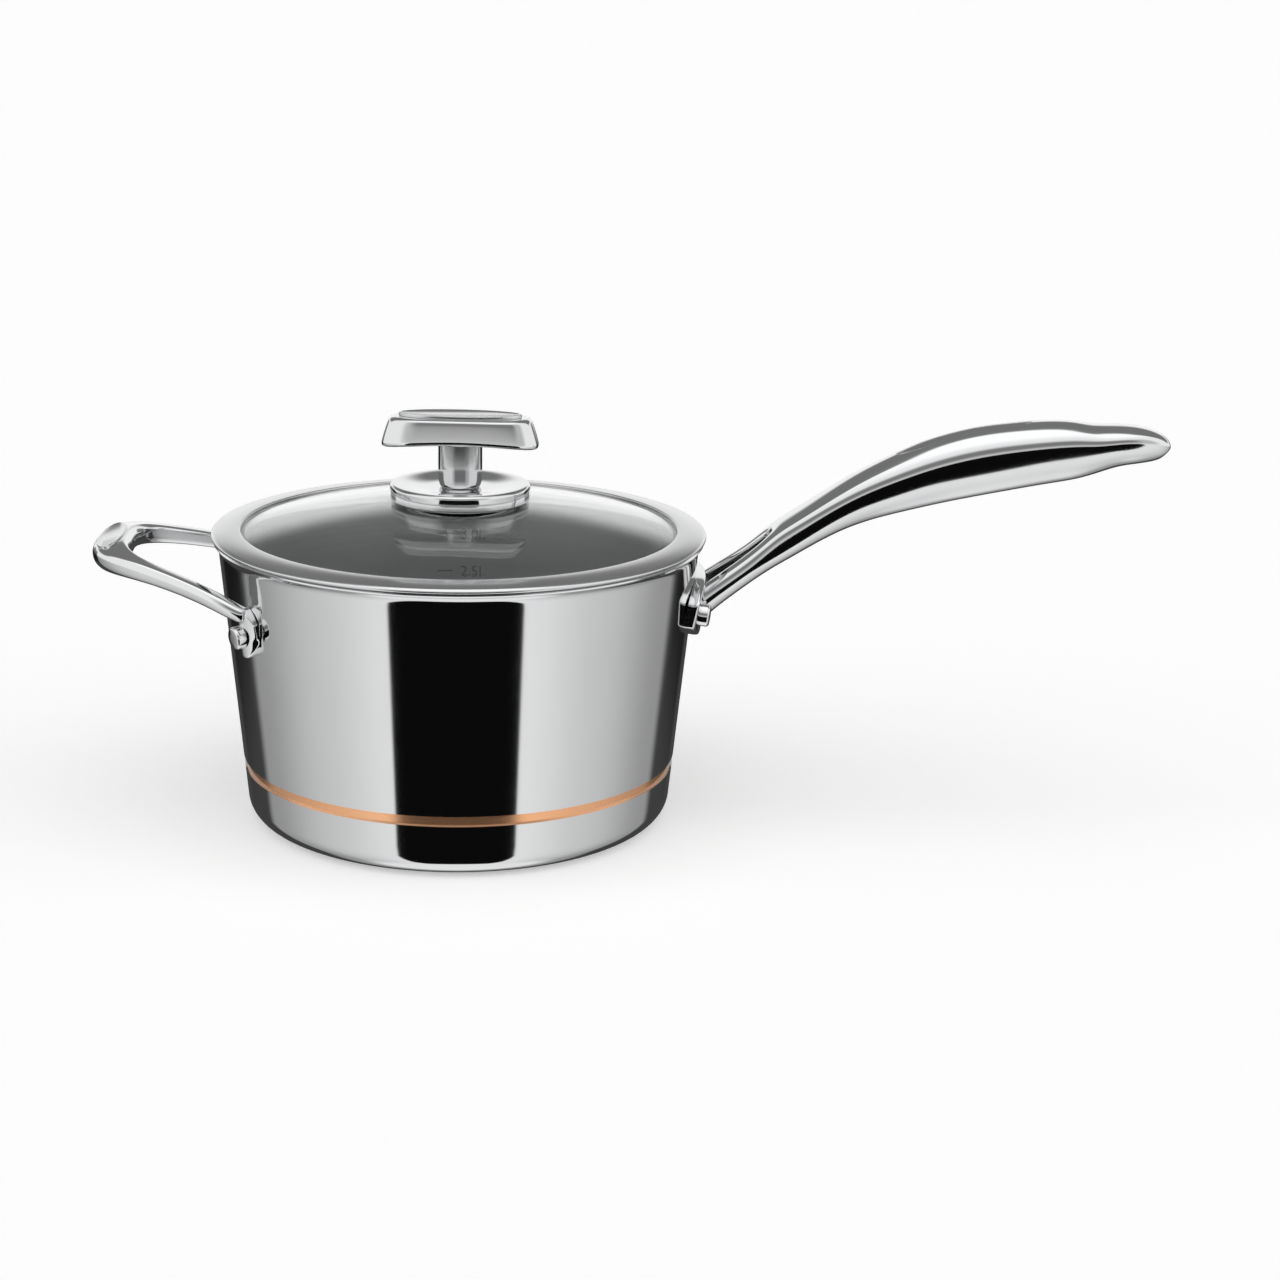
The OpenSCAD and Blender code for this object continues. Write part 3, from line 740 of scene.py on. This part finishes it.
def make_hole_cutter():
    """The hanging hole with its two scoops, as one turned shape."""
    reach, outer_r, above, below, step = 9.0, 16, 185, 140, 3
    drop = math.asin(reach / SCOOP_R)
    steps = 16
    meet = math.asin(HANG_R / SCOOP_R)
    top = [[SCOOP_R * math.sin(drop + (meet - drop) * i / steps),
            SCOOP_TOP + SCOOP_R - SCOOP_R * math.cos(drop + (meet - drop) * i / steps)]
           for i in range(steps + 1)]
    low = [[r, SCOOP_TOP + SCOOP_LOW - z] for r, z in top[::-1]]
    outline = [[0, above], [outer_r, above], [outer_r, top[0][1] + step]] + top + low
    outline += [[outer_r, low[-1][1] - step], [outer_r, below], [0, below]]
    place = Matrix.Translation((HANG_X * MM, 0, 0))
    return lathe("hole_cutter", outline, 96, place)


LONG_FOOT_LOW, LONG_FOOT_HIGH, LONG_FOOT_HALF_TURN, LONG_FOOT_COLUMNS = 83.0, 107.0, 18.9, 9


def bent_plate(name, turn_deg, half_turn, low, high, columns):
    """A foot's plate, bent round the wall by spinning its cross-section."""
    half_z, middle_z = (high - low) / 2, (low + high) / 2
    piece = begin(name, bpy.ops.mesh.primitive_grid_add, x_subdivisions=1, y_subdivisions=4,
                  size=2)
    bpy.ops.transform.resize(value=(FOOT_T / 2 * MM, half_z * MM, 1), center_override=(0, 0, 0))
    # the grid's X becomes the wall's normal and its Y runs up the wall
    normal = Vector((math.cos(WALL_LEAN), 0, -math.sin(WALL_LEAN)))
    along = Vector((math.sin(WALL_LEAN), 0, math.cos(WALL_LEAN)))
    turn(Matrix((normal, along, normal.cross(along))).transposed(), (0, 0, 0))
    move(Vector((wall_r(middle_z), 0, middle_z)) * MM + normal * (FOOT_T / 2 * MM))
    turn(Matrix.Rotation(math.radians(turn_deg) - half_turn, 3, "Z"), (0, 0, 0))
    bpy.ops.mesh.spin(steps=columns, angle=2 * half_turn, center=(0, 0, 0), axis=(0, 0, -1))
    close_up(piece)
    bpy.ops.object.mode_set(mode="EDIT")
    return piece


def is_outer(p):
    """True for a point nearer to a foot's outer face than to the wall."""
    return math.hypot(p.x, p.y) > (wall_r(p.z / MM) + FOOT_T / 2) * MM


def pick_columns(piece, turn_deg, away, test=lambda p: True):
    """Selects a foot's points that stand at an angle to either side of its middle."""
    def on_column(p, vertex):
        angle = math.atan2(p.y, p.x) - math.radians(turn_deg)
        angle = (angle + math.pi) % (2 * math.pi) - math.pi
        return abs(abs(angle) - away) < math.radians(0.5) and test(p)
    pick(piece, "VERT", on_column)


def finish_foot(piece):
    """Keeps a foot's rim crisp against the wall and softer on its outer face."""
    steep = math.radians(50)
    pick(piece, "EDGE", lambda p, e: e.calc_face_angle(0) > steep)
    bpy.ops.transform.edge_crease(value=0.35)
    pick(piece, "EDGE", lambda p, e: e.calc_face_angle(0) > steep and not is_outer(p))
    bpy.ops.transform.edge_crease(value=0.5)
    bpy.ops.object.mode_set(mode="OBJECT")
    subdivide(piece, 3)
    return piece


def make_long_foot():
    """The wide riveted plate, which gets lower towards its two ends."""
    half_turn = math.radians(LONG_FOOT_HALF_TURN)
    piece = bent_plate("long_foot", 0, half_turn, LONG_FOOT_LOW, LONG_FOOT_HIGH,
                       LONG_FOOT_COLUMNS)
    step = 2 * half_turn / LONG_FOOT_COLUMNS
    middle = (0, 0, (LONG_FOOT_LOW + LONG_FOOT_HIGH) / 2 * MM)
    for column, share in ((0, 0.42), (1, 0.84)):
        pick_columns(piece, 0, half_turn - column * step)
        bpy.ops.transform.resize(value=(1, 1, share), center_override=middle)
    return finish_foot(piece)


def make_long_handle():
    piece = begin("long_handle_casting", bpy.ops.mesh.primitive_grid_add, x_subdivisions=3,
                  y_subdivisions=3, size=2)
    sections = grip_sections()
    shapes = [grip_rows(row[4]) for row in GRIP]
    shape_cap(piece, shapes[0])
    lay_cap(sections[0])
    for i in range(1, len(sections)):
        extend(sections[i - 1], sections[i])
        reshape_cap(piece, sections[i], shapes[i - 1], shapes[i])
    fork = sections[-1]
    across, ahead = fork.basis.col[0], fork.basis.col[2]

    def is_arm(side):
        def test(middle, face):
            offset = (middle - fork.middle).dot(across) * side
            return (abs((middle - fork.middle).dot(ahead)) < 0.4 * MM
                    and offset > fork.size[0] * 0.34)
        return test
    for side in (-1, 1):
        pick(piece, "FACE", is_arm(side))
        outward = 1 if across.y * side > 0 else -1
        start = Section(fork.middle + across * (side * fork.size[0] * 0.68), ahead, UP,
                        fork.size[0] * 0.33, fork.size[1])
        for section in arm_sections(outward):
            extend(start, section)
            start = section
    close_up(piece)
    subdivide(piece, 3)
    foot, cutter = make_long_foot(), make_hole_cutter()
    modify(piece, "BOOLEAN", operation="UNION", object=foot, solver="EXACT")
    modify(piece, "BOOLEAN", operation="DIFFERENCE", object=cutter, solver="EXACT")
    for tool in (foot, cutter):
        bpy.data.objects.remove(tool)
    smooth(dress(piece, "cast_steel", "pan", "long_handle"), 38)


def grip_top(x, y, lift):
    """A point on the grip's top skin, in millimetres."""
    for i in range(len(GRIP) - 1):
        if GRIP[i][0] >= x >= GRIP[i + 1][0]:
            u = i + (GRIP[i][0] - x) / (GRIP[i][0] - GRIP[i + 1][0])
            here = smooth_row(GRIP, u)
            near, far = smooth_row(GRIP, max(u - 0.1, 0)), smooth_row(GRIP, u + 0.1)
            lean = math.atan2(near[1] - far[1], near[0] - far[0])
            top = here[3] * math.sqrt(max(0.0, 1 - (y / here[2]) ** 2)) + lift
            return Vector((here[0] - top * math.sin(lean), y, here[1] + top * math.cos(lean)))
    raise ValueError(x)


def make_handle_badge():
    """A plain lens-shaped plate that lies on the top of the grip."""
    low_x, high_x, half_w, rise, thick, edge = 190.6, 245.5, 7.0, 0.42, 1.1, 0.22
    piece = begin("long_handle_plate", bpy.ops.mesh.primitive_grid_add, x_subdivisions=40,
                  y_subdivisions=14, size=2)
    mesh = bmesh.from_edit_mesh(piece.data)
    for vertex in mesh.verts:
        along, side = vertex.co.x, vertex.co.y
        # a square drawn in to a disc, then stretched along the grip
        disc_x = along * math.sqrt(1 - side * side / 2)
        disc_y = side * math.sqrt(1 - along * along / 2)
        x = (low_x + high_x) / 2 + disc_x * (high_x - low_x) / 2
        vertex.co = grip_top(x, disc_y * half_w, rise) * MM
    bmesh.update_edit_mesh(piece.data)
    close_up(piece)
    modify(piece, "SOLIDIFY", thickness=thick * MM, offset=-1)
    modify(piece, "BEVEL", width=edge * MM, segments=3, limit_method="ANGLE",
           angle_limit=math.radians(50))
    smooth(dress(piece, "satin_steel", "pan", "long_handle_badge"), 40)


# ------------------------------------------------------------------------------------------
# Helper handle
# ------------------------------------------------------------------------------------------
# Rows of one half of the loop, from the middle of its end: x, y, z, half plan width, half height
LOOP = [(-145.8, 10, 115.6, 8.2, 5.7), (-143.9, 21, 116, 7.5, 5.4), (-137, 30.6, 115.2, 5.3, 4.6),
        (-125, 37, 112.8, 4.3, 3.8), (-111, 44, 109.2, 4.1, 3.5), (-101, 49.6, 106, 4.1, 3.4),
        (-95, 52.4, 103.4, 4.1, 3.3), (-89.5, 54, 100.8, 4.1, 3.2), (-86.5, 54.5, 100.4, 4, 3)]
LOOP_END = (-145.8, 0, 115.5, 8.3, 5.7)
LOOP_GROWTH = 1.06  # what subdivision takes off the width, put back
# The end leans out, and over FADE_Y beyond END_HALF_Y this turns into the arms' lean inwards
LOOP_LEAN, ARM_LEAN, END_HALF_Y, FADE_Y = math.radians(12), 0.12, 15.0, 20.0
# The loop's cross-section in half sizes, as for the grip
LOOP_ROWS = [(0.4, 1.0, 0.88, 0.93), (0.4, 0.0, 1.02, -0.14), (0.28, -0.98, 0.64, -0.88)]
HELPER_TURN, HELPER_FOOT_HALF, HELPER_FOOT_LOW, HELPER_FOOT_HIGH = 31.5, 6.8, 82.0, 104.0
HELPER_FOOT_R, HELPER_FOOT_COLUMNS, HELPER_TAPER_Z = 100, 4, 94.0
# The helper handle's plate: half sizes and height, its sink, and the recess that it sits in
HELPER_BADGE, HELPER_BADGE_SINK = (5.6, 22.0, 2.15), 1.8
RECESS_GAP, RECESS_LIFT, RECESS_EDGE, PLATE_EDGE = 0.5, 1.2, 0.4, 0.55


def make_helper_foot(name, turn_deg):
    """A narrow riveted plate, which gets lower and thinner towards its two sides."""
    half_turn = math.asin(HELPER_FOOT_HALF / HELPER_FOOT_R)
    piece = bent_plate(name, turn_deg, half_turn, HELPER_FOOT_LOW, HELPER_FOOT_HIGH,
                       HELPER_FOOT_COLUMNS)
    step = 2 * half_turn / HELPER_FOOT_COLUMNS
    for column, share, thinner in ((2, 0.45, 3.2), (1, 0.87, 0.6)):
        pick_columns(piece, turn_deg, column * step)
        bpy.ops.transform.resize(value=(1, 1, share), center_override=(0, 0, HELPER_TAPER_Z * MM))
        pick_columns(piece, turn_deg, column * step, is_outer)
        shrink = 1 - thinner / wall_r(HELPER_TAPER_Z)
        bpy.ops.transform.resize(value=(shrink, shrink, 1), center_override=(0, 0, 0))
    return finish_foot(piece)


def loop_up(y):
    """The loop's way up: outwards at its end, and a little inwards over its arms."""
    share = min(1.0, max(0.0, (abs(y) - END_HALF_Y) / FADE_Y))
    return Vector((-math.tan(LOOP_LEAN) * (1 - share), -math.copysign(ARM_LEAN * share, y), 1))


def make_helper_handle():
    rows = [(x, -y, z, w, h) for x, y, z, w, h in LOOP[::-1]] + [LOOP_END] + LOOP
    middles = [Vector(row[:3]) * MM for row in rows]
    sections = []
    for i, row in enumerate(rows):
        ahead = middles[min(i + 1, len(rows) - 1)] - middles[max(i - 1, 0)]
        sections.append(Section(middles[i], ahead, loop_up(row[1]), row[3] * MM * LOOP_GROWTH,
                                row[4] * MM))
    piece = begin("helper_handle_casting", bpy.ops.mesh.primitive_grid_add, x_subdivisions=3,
                  y_subdivisions=2, size=2)
    shape_cap(piece, LOOP_ROWS)
    lay_cap(sections[0])
    for old, new in zip(sections, sections[1:]):
        extend(old, new)
    close_up(piece)
    subdivide(piece, 3)
    for side, name in ((1, "front_foot"), (-1, "rear_foot")):
        foot = make_helper_foot(name, 180 + side * HELPER_TURN)
        modify(piece, "BOOLEAN", operation="UNION", object=foot, solver="EXACT")
        bpy.data.objects.remove(foot)
    low, high = 70, 115
    inner = lathe("wall_cutter", [[0, low], [wall_r(low), low], [wall_r(high), high], [0, high]],
                  256)
    half_x, half_y, height = HELPER_BADGE
    recess = oval_plate("badge_recess", half_x + RECESS_GAP, half_y + RECESS_GAP, height,
                        RECESS_EDGE, helper_badge_place(HELPER_BADGE_SINK - RECESS_LIFT))
    for tool in (inner, recess):
        modify(piece, "BOOLEAN", operation="DIFFERENCE", object=tool, solver="EXACT")
        bpy.data.objects.remove(tool)
    smooth(dress(piece, "cast_steel", "pan", "helper_handle"), 38)


def helper_badge_place(sink):
    """The middle of the badge's seat, sunk below the top of the loop's end."""
    x, y, z, half_w, half_h = LOOP_END
    lean = Matrix.Rotation(-LOOP_LEAN, 4, "Y")
    return (Matrix.Translation(Vector((x, y, z)) * MM) @ lean
            @ Matrix.Translation((0, 0, (half_h - sink) * MM)))


def oval_plate(name, half_x, half_y, height, edge, place):
    """A raised oval plate with a rounded edge, a shallow dish and a fine rim."""
    piece = begin(name, bpy.ops.mesh.primitive_circle_add, vertices=64, radius=1,
                  fill_type="NGON")
    bpy.ops.transform.resize(value=(half_x * MM, half_y * MM, 1), center_override=(0, 0, 0))
    bpy.ops.mesh.extrude_region_move(TRANSFORM_OT_translate={"value": (0, 0, height * MM)})
    for width, depth in ((edge * 1.6, 0), (edge * 0.7, edge * 0.28)):
        bpy.ops.mesh.extrude_region_move(TRANSFORM_OT_translate={"value": (0, 0, -depth * MM)})
        shrink = ((half_x - width) / half_x, (half_y - width) / half_y, 1)
        bpy.ops.transform.resize(value=shrink, center_override=(0, 0, 0))
        half_x, half_y = half_x - width, half_y - width
    bpy.ops.mesh.select_all(action="SELECT")
    turn(place.to_3x3(), (0, 0, 0))
    move(place.translation)
    close_up(piece)
    modify(piece, "BEVEL", width=edge * MM * 0.5, segments=4, limit_method="ANGLE",
           angle_limit=math.radians(40))
    return piece


def make_helper_badge():
    plate = oval_plate("helper_handle_plate", *HELPER_BADGE, PLATE_EDGE,
                       helper_badge_place(HELPER_BADGE_SINK))
    smooth(dress(plate, "satin_steel", "pan", "helper_handle_badge"), 40)


# ------------------------------------------------------------------------------------------
# Lid
# ------------------------------------------------------------------------------------------
RIM_R, RIM_INNER_R, RIM_TOP = 105.0, 92.7, 125.8
LIP_HIGH = lip_arc(WALL_T)[-1][1]
PLATE_T, SKIRT_R, SKIRT_LOW, HOOK_R = 1.0, 97.9, 117.4, 91.6
CROWN_STEPS, CROWN_POWER, RIM_ROUND = 14, 2.2, 0.75
GLASS_MID_Z, GLASS_T, GLASS_MID_R, GLASS_HOLE_R = 136.8, 4.0, 26.0, 4.0
GLASS_EDGE_Z = RIM_TOP - PLATE_T - 0.2
GLASS_ROUND = (RIM_INNER_R ** 2 - GLASS_MID_R ** 2) / (2 * (GLASS_MID_Z - GLASS_EDGE_Z))


def glass_top(r):
    return GLASS_MID_Z - max(0.0, r * r - GLASS_MID_R ** 2) / (2 * GLASS_ROUND)


def make_lid_rim():
    edge_z = LIP_HIGH + PLATE_T
    crown = []
    for i in range(CROWN_STEPS + 1):
        t = i / CROWN_STEPS
        crown.append([RIM_INNER_R + 0.5 + (RIM_R - 1.3 - RIM_INNER_R) * t,
                      RIM_TOP + 0.05 - (RIM_TOP - edge_z - 0.15) * t ** CROWN_POWER])
    outline = [[RIM_INNER_R, GLASS_EDGE_Z], [RIM_INNER_R, RIM_TOP - 0.35],
               [RIM_INNER_R + 0.1, RIM_TOP - 0.12], [RIM_INNER_R + 0.25, RIM_TOP]]
    outline += crown
    outline += arc(RIM_R - RIM_ROUND, edge_z - 0.9, RIM_ROUND, 60, -90, 8)
    outline += [[RIM_R - 1.2, LIP_HIGH], [SKIRT_R, LIP_HIGH], [SKIRT_R, SKIRT_LOW + 1],
                [SKIRT_R - 0.35, SKIRT_LOW + 0.25], [SKIRT_R - 1.1, SKIRT_LOW],
                [HOOK_R, SKIRT_LOW], [HOOK_R, SKIRT_LOW + PLATE_T]]
    glass_low = GLASS_EDGE_Z - GLASS_T
    outline += [[HOOK_R + 1, SKIRT_LOW + PLATE_T], [HOOK_R + 1.6, glass_low],
                [HOOK_R + 2.8, glass_low], [HOOK_R + 3.4, SKIRT_LOW + PLATE_T],
                [SKIRT_R - PLATE_T - 0.5, SKIRT_LOW + PLATE_T],
                [SKIRT_R - PLATE_T, SKIRT_LOW + PLATE_T + 0.5], [SKIRT_R - PLATE_T, GLASS_EDGE_Z]]
    piece = lathe("lid_ring", outline)
    smooth(dress(piece, "satin_steel", "lid", "lid_rim"), 40)


def make_glass():
    radii = [GLASS_HOLE_R] + [GLASS_HOLE_R + (RIM_INNER_R - 2 - GLASS_HOLE_R) * i / 26
                              for i in range(1, 27)]
    edge = SKIRT_R - PLATE_T - 0.05
    top = [[r, glass_top(r)] for r in radii] + [[RIM_INNER_R - 0.6, GLASS_EDGE_Z + 0.02]]
    outline = top + [[edge, GLASS_EDGE_Z], [edge, GLASS_EDGE_Z - GLASS_T]]
    outline += [[r, z - GLASS_T] for r, z in top[::-1]]
    piece = lathe("lid_glass_dome", outline)
    piece.visible_shadow = False  # light passes through to the inside of the pan
    smooth(dress(piece, "glass", "lid", "lid_glass"), 30)


# ------------------------------------------------------------------------------------------
# Knob
# ------------------------------------------------------------------------------------------
KNOB_TURN = Matrix.Rotation(math.radians(-5), 4, "Z")
FLANGE_R, FLANGE_TOP, FLANGE_LOW = 29.8, 144.6, GLASS_MID_Z + 1.0
FLANGE_RIM, GASKET_R, DISH_R = 0.4, 25.4, 11
DISH_Z = FLANGE_TOP - 1.5
STEM_R, SEAT_Z, BAR_TOP = 9.3, 162.6, 173.0
STEM_WAIST, STEM_SWELL_H, STEM_ROOT, SCREW_SEAT_R = 1.6, 4, 2, 5
BAR_HALF_L, BAR_HALF_W, BAR_DROOP = 33.3, 13.0, 2.5
KNOB_BADGE = (26, 8.6, 1.5, 0.6)  # half sizes, height and edge
# Levels of the bar from its seat up: less than full length, less than full width, height,
# share of the droop at the ends
BAR_LEVELS = [(3.6, 1.4, 0.0, 0.85), (1.6, 0.5, 0.0, 1.0), (0.45, 0.12, 0.35, 1.0),
              (0.0, 0.0, 1.1, 0.98), (0.5, 0.25, 3.0, 0.88), (1.4, 0.65, 5.6, 0.62),
              (2.5, 1.1, 8.2, 0.36), (3.1, 1.35, 9.45, 0.26), (3.6, 1.75, 10.1, 0.2),
              (4.5, 2.5, 10.36, 0.12), (6.0, 3.6, 10.4, 0.0)]


def shape_bar_ring(piece, half_l, half_w, z, droop, square=3.2):
    """Draws the selected round loop out to a squarish oval whose ends hang lower."""
    mesh = bmesh.from_edit_mesh(piece.data)
    for vertex in mesh.verts:
        if vertex.select:
            a = math.atan2(vertex.co.y / half_w, vertex.co.x / half_l)
            c, s = math.cos(a), math.sin(a)
            grow = (abs(c) ** square + abs(s) ** square) ** (-1 / square)
            x, y = half_l * c * grow, half_w * s * grow
            vertex.co = Vector((x, y, z - droop * (x / BAR_HALF_L) ** 2)) * MM
    bmesh.update_edit_mesh(piece.data)


def make_knob_bar():
    piece = begin("knob_grip_bar", bpy.ops.mesh.primitive_circle_add, vertices=72,
                  radius=BAR_HALF_L * MM, fill_type="NGON")
    bpy.ops.transform.resize(value=(1, BAR_HALF_W / BAR_HALF_L, 1), center_override=(0, 0, 0))
    shape_bar_ring(piece, STEM_R + 4, STEM_R + 1.5, SEAT_Z, 0)
    for less_l, less_w, height, share in BAR_LEVELS:
        bpy.ops.mesh.extrude_region_move(TRANSFORM_OT_translate={"value": (0, 0, 0.1 * MM)})
        shape_bar_ring(piece, BAR_HALF_L - less_l, BAR_HALF_W - less_w, SEAT_Z + height,
                       BAR_DROOP * share)
    bpy.ops.mesh.inset(thickness=2 * MM)
    bpy.ops.mesh.select_all(action="SELECT")
    turn(KNOB_TURN.to_3x3(), (0, 0, 0))
    close_up(piece)
    subdivide(piece, 1)
    smooth(dress(piece, "polished_steel", "knob", "knob_bar"), 50)


def make_knob_badge():
    place = KNOB_TURN @ Matrix.Translation((0, 0, (BAR_TOP - 0.02) * MM))
    plate = oval_plate("knob_plate", *KNOB_BADGE, place)
    smooth(dress(plate, "satin_steel", "knob", "knob_badge"), 40)


def make_knob_stem():
    foot_z, waist_r = DISH_Z - STEM_ROOT, STEM_R - STEM_WAIST
    outline = [[0, foot_z], [waist_r, foot_z], [waist_r, DISH_Z]]
    for i in range(1, 9):
        a = math.pi / 2 * i / 8
        outline.append([STEM_R - STEM_WAIST * (1 - math.sin(a)),
                        DISH_Z + STEM_SWELL_H * (1 - math.cos(a))])
    outline += [[STEM_R, SEAT_Z - 1.2], [STEM_R + 0.5, SEAT_Z], [SCREW_SEAT_R, SEAT_Z],
                [SCREW_SEAT_R, SEAT_Z + 4], [0, SEAT_Z + 4]]
    piece = lathe("knob_neck", outline, 128)
    smooth(dress(piece, "polished_steel", "knob", "knob_stem"), 40)


def make_knob_flange():
    edge = (FLANGE_TOP - FLANGE_LOW + FLANGE_RIM) / 2
    mid_z = (FLANGE_TOP + FLANGE_LOW - FLANGE_RIM) / 2
    outline = [[GLASS_HOLE_R, FLANGE_LOW], [GASKET_R, FLANGE_LOW],
               [GASKET_R, FLANGE_LOW - FLANGE_RIM]]
    side = 1.1
    outline += arc(FLANGE_R - side, mid_z - edge + side, side, -90, 0, 6)
    outline += arc(FLANGE_R - side * 1.3, mid_z + edge - side * 1.3, side * 1.3, 0, 84, 8)
    reach_r = FLANGE_R - side * 1.3
    for i in range(1, 13):
        t = i / 12
        outline.append([reach_r * (1 - t) + DISH_R * t,
                        FLANGE_TOP - (FLANGE_TOP - DISH_Z) * (1 - math.cos(math.pi * t)) / 2])
    waist_r, root_z = STEM_R - STEM_WAIST, DISH_Z - STEM_ROOT
    outline += [[waist_r, DISH_Z], [waist_r, root_z], [GLASS_HOLE_R, root_z]]
    piece = lathe("knob_disc", outline, 160)
    smooth(dress(piece, "polished_steel", "knob", "knob_flange"), 40)


# ------------------------------------------------------------------------------------------
# Volume marks, etched on the far side of the inner wall
# ------------------------------------------------------------------------------------------
MARK_TOP_Z, MARK_STEP, MARK_HEIGHT, CAPITAL_SHARE = 98.0, 17.6, 5.0, 0.72
DASH_HALF_L, DASH_HALF_W, DASH_X = 3.6, 0.3, -7.1
MARKS = ["3.0L", "2.5L", "2.0L", "1.5L", "1.0L"]


def wrap_on_liner(piece, z_low):
    """Bends a flat drawing in X and Y onto the inner wall, facing inwards."""
    for vertex in piece.data.vertices:
        x, y, out = vertex.co
        z = z_low + y / MM * math.cos(WALL_LEAN)
        r = (wall_r(z) - WALL_T / math.cos(WALL_LEAN) - 0.03) * MM - out
        a = x / r
        vertex.co = (r * math.sin(a), r * math.cos(a), z * MM)


def make_marks():
    for i, words in enumerate(MARKS):
        z_low = MARK_TOP_Z - i * MARK_STEP
        bpy.ops.object.select_all(action="DESELECT")
        bpy.ops.object.text_add()
        text = bpy.context.object
        text.data.body = words
        text.data.size = MARK_HEIGHT / CAPITAL_SHARE * MM
        text.data.extrude = 0.03 * MM
        bpy.ops.object.convert(target="MESH")
        mark = bpy.context.object
        mark.name = mark.data.name = "volume_mark_" + words.replace(".", "_")
        wrap_on_liner(mark, z_low)
        bar = begin("mark_bar", bpy.ops.mesh.primitive_grid_add, x_subdivisions=6,
                    y_subdivisions=1, size=2)
        bpy.ops.transform.resize(value=(DASH_HALF_L * MM, DASH_HALF_W * MM, 1),
                                 center_override=(0, 0, 0))
        bpy.ops.mesh.extrude_region_move(TRANSFORM_OT_translate={"value": (0, 0, 0.05 * MM)})
        bpy.ops.mesh.select_all(action="SELECT")
        move((DASH_X * MM, MARK_HEIGHT / 2 * MM, -0.02 * MM))
        close_up(bar)
        wrap_on_liner(bar, z_low)
        bpy.ops.object.select_all(action="DESELECT")
        bar.select_set(True)
        mark.select_set(True)
        bpy.context.view_layer.objects.active = mark
        bpy.ops.object.join()
        dress(mark, "etched_marks", "pan")


# ------------------------------------------------------------------------------------------
# CAD nodes that stay
# ------------------------------------------------------------------------------------------
KEPT = {"inner_aluminium_ply": "aluminium", "outer_aluminium_ply": "aluminium",
        "knob_upper_gasket": "gasket", "knob_lower_gasket": "gasket",
        "knob_washer": "satin_steel", "knob_lock_washer": "satin_steel",
        "knob_screw": "satin_steel"}


def finish_kept_nodes():
    for node, material in KEPT.items():
        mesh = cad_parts[node].data
        mesh.materials.clear()
        mesh.materials.append(MATERIALS[material])


MATERIALS = make_materials()
make_camera()
make_studio()
make_floor()
make_pan()
make_rivets()
make_long_handle()
make_handle_badge()
make_helper_handle()
make_helper_badge()
make_lid_rim()
make_glass()
make_knob_bar()
make_knob_badge()
make_knob_stem()
make_knob_flange()
make_marks()
finish_kept_nodes()
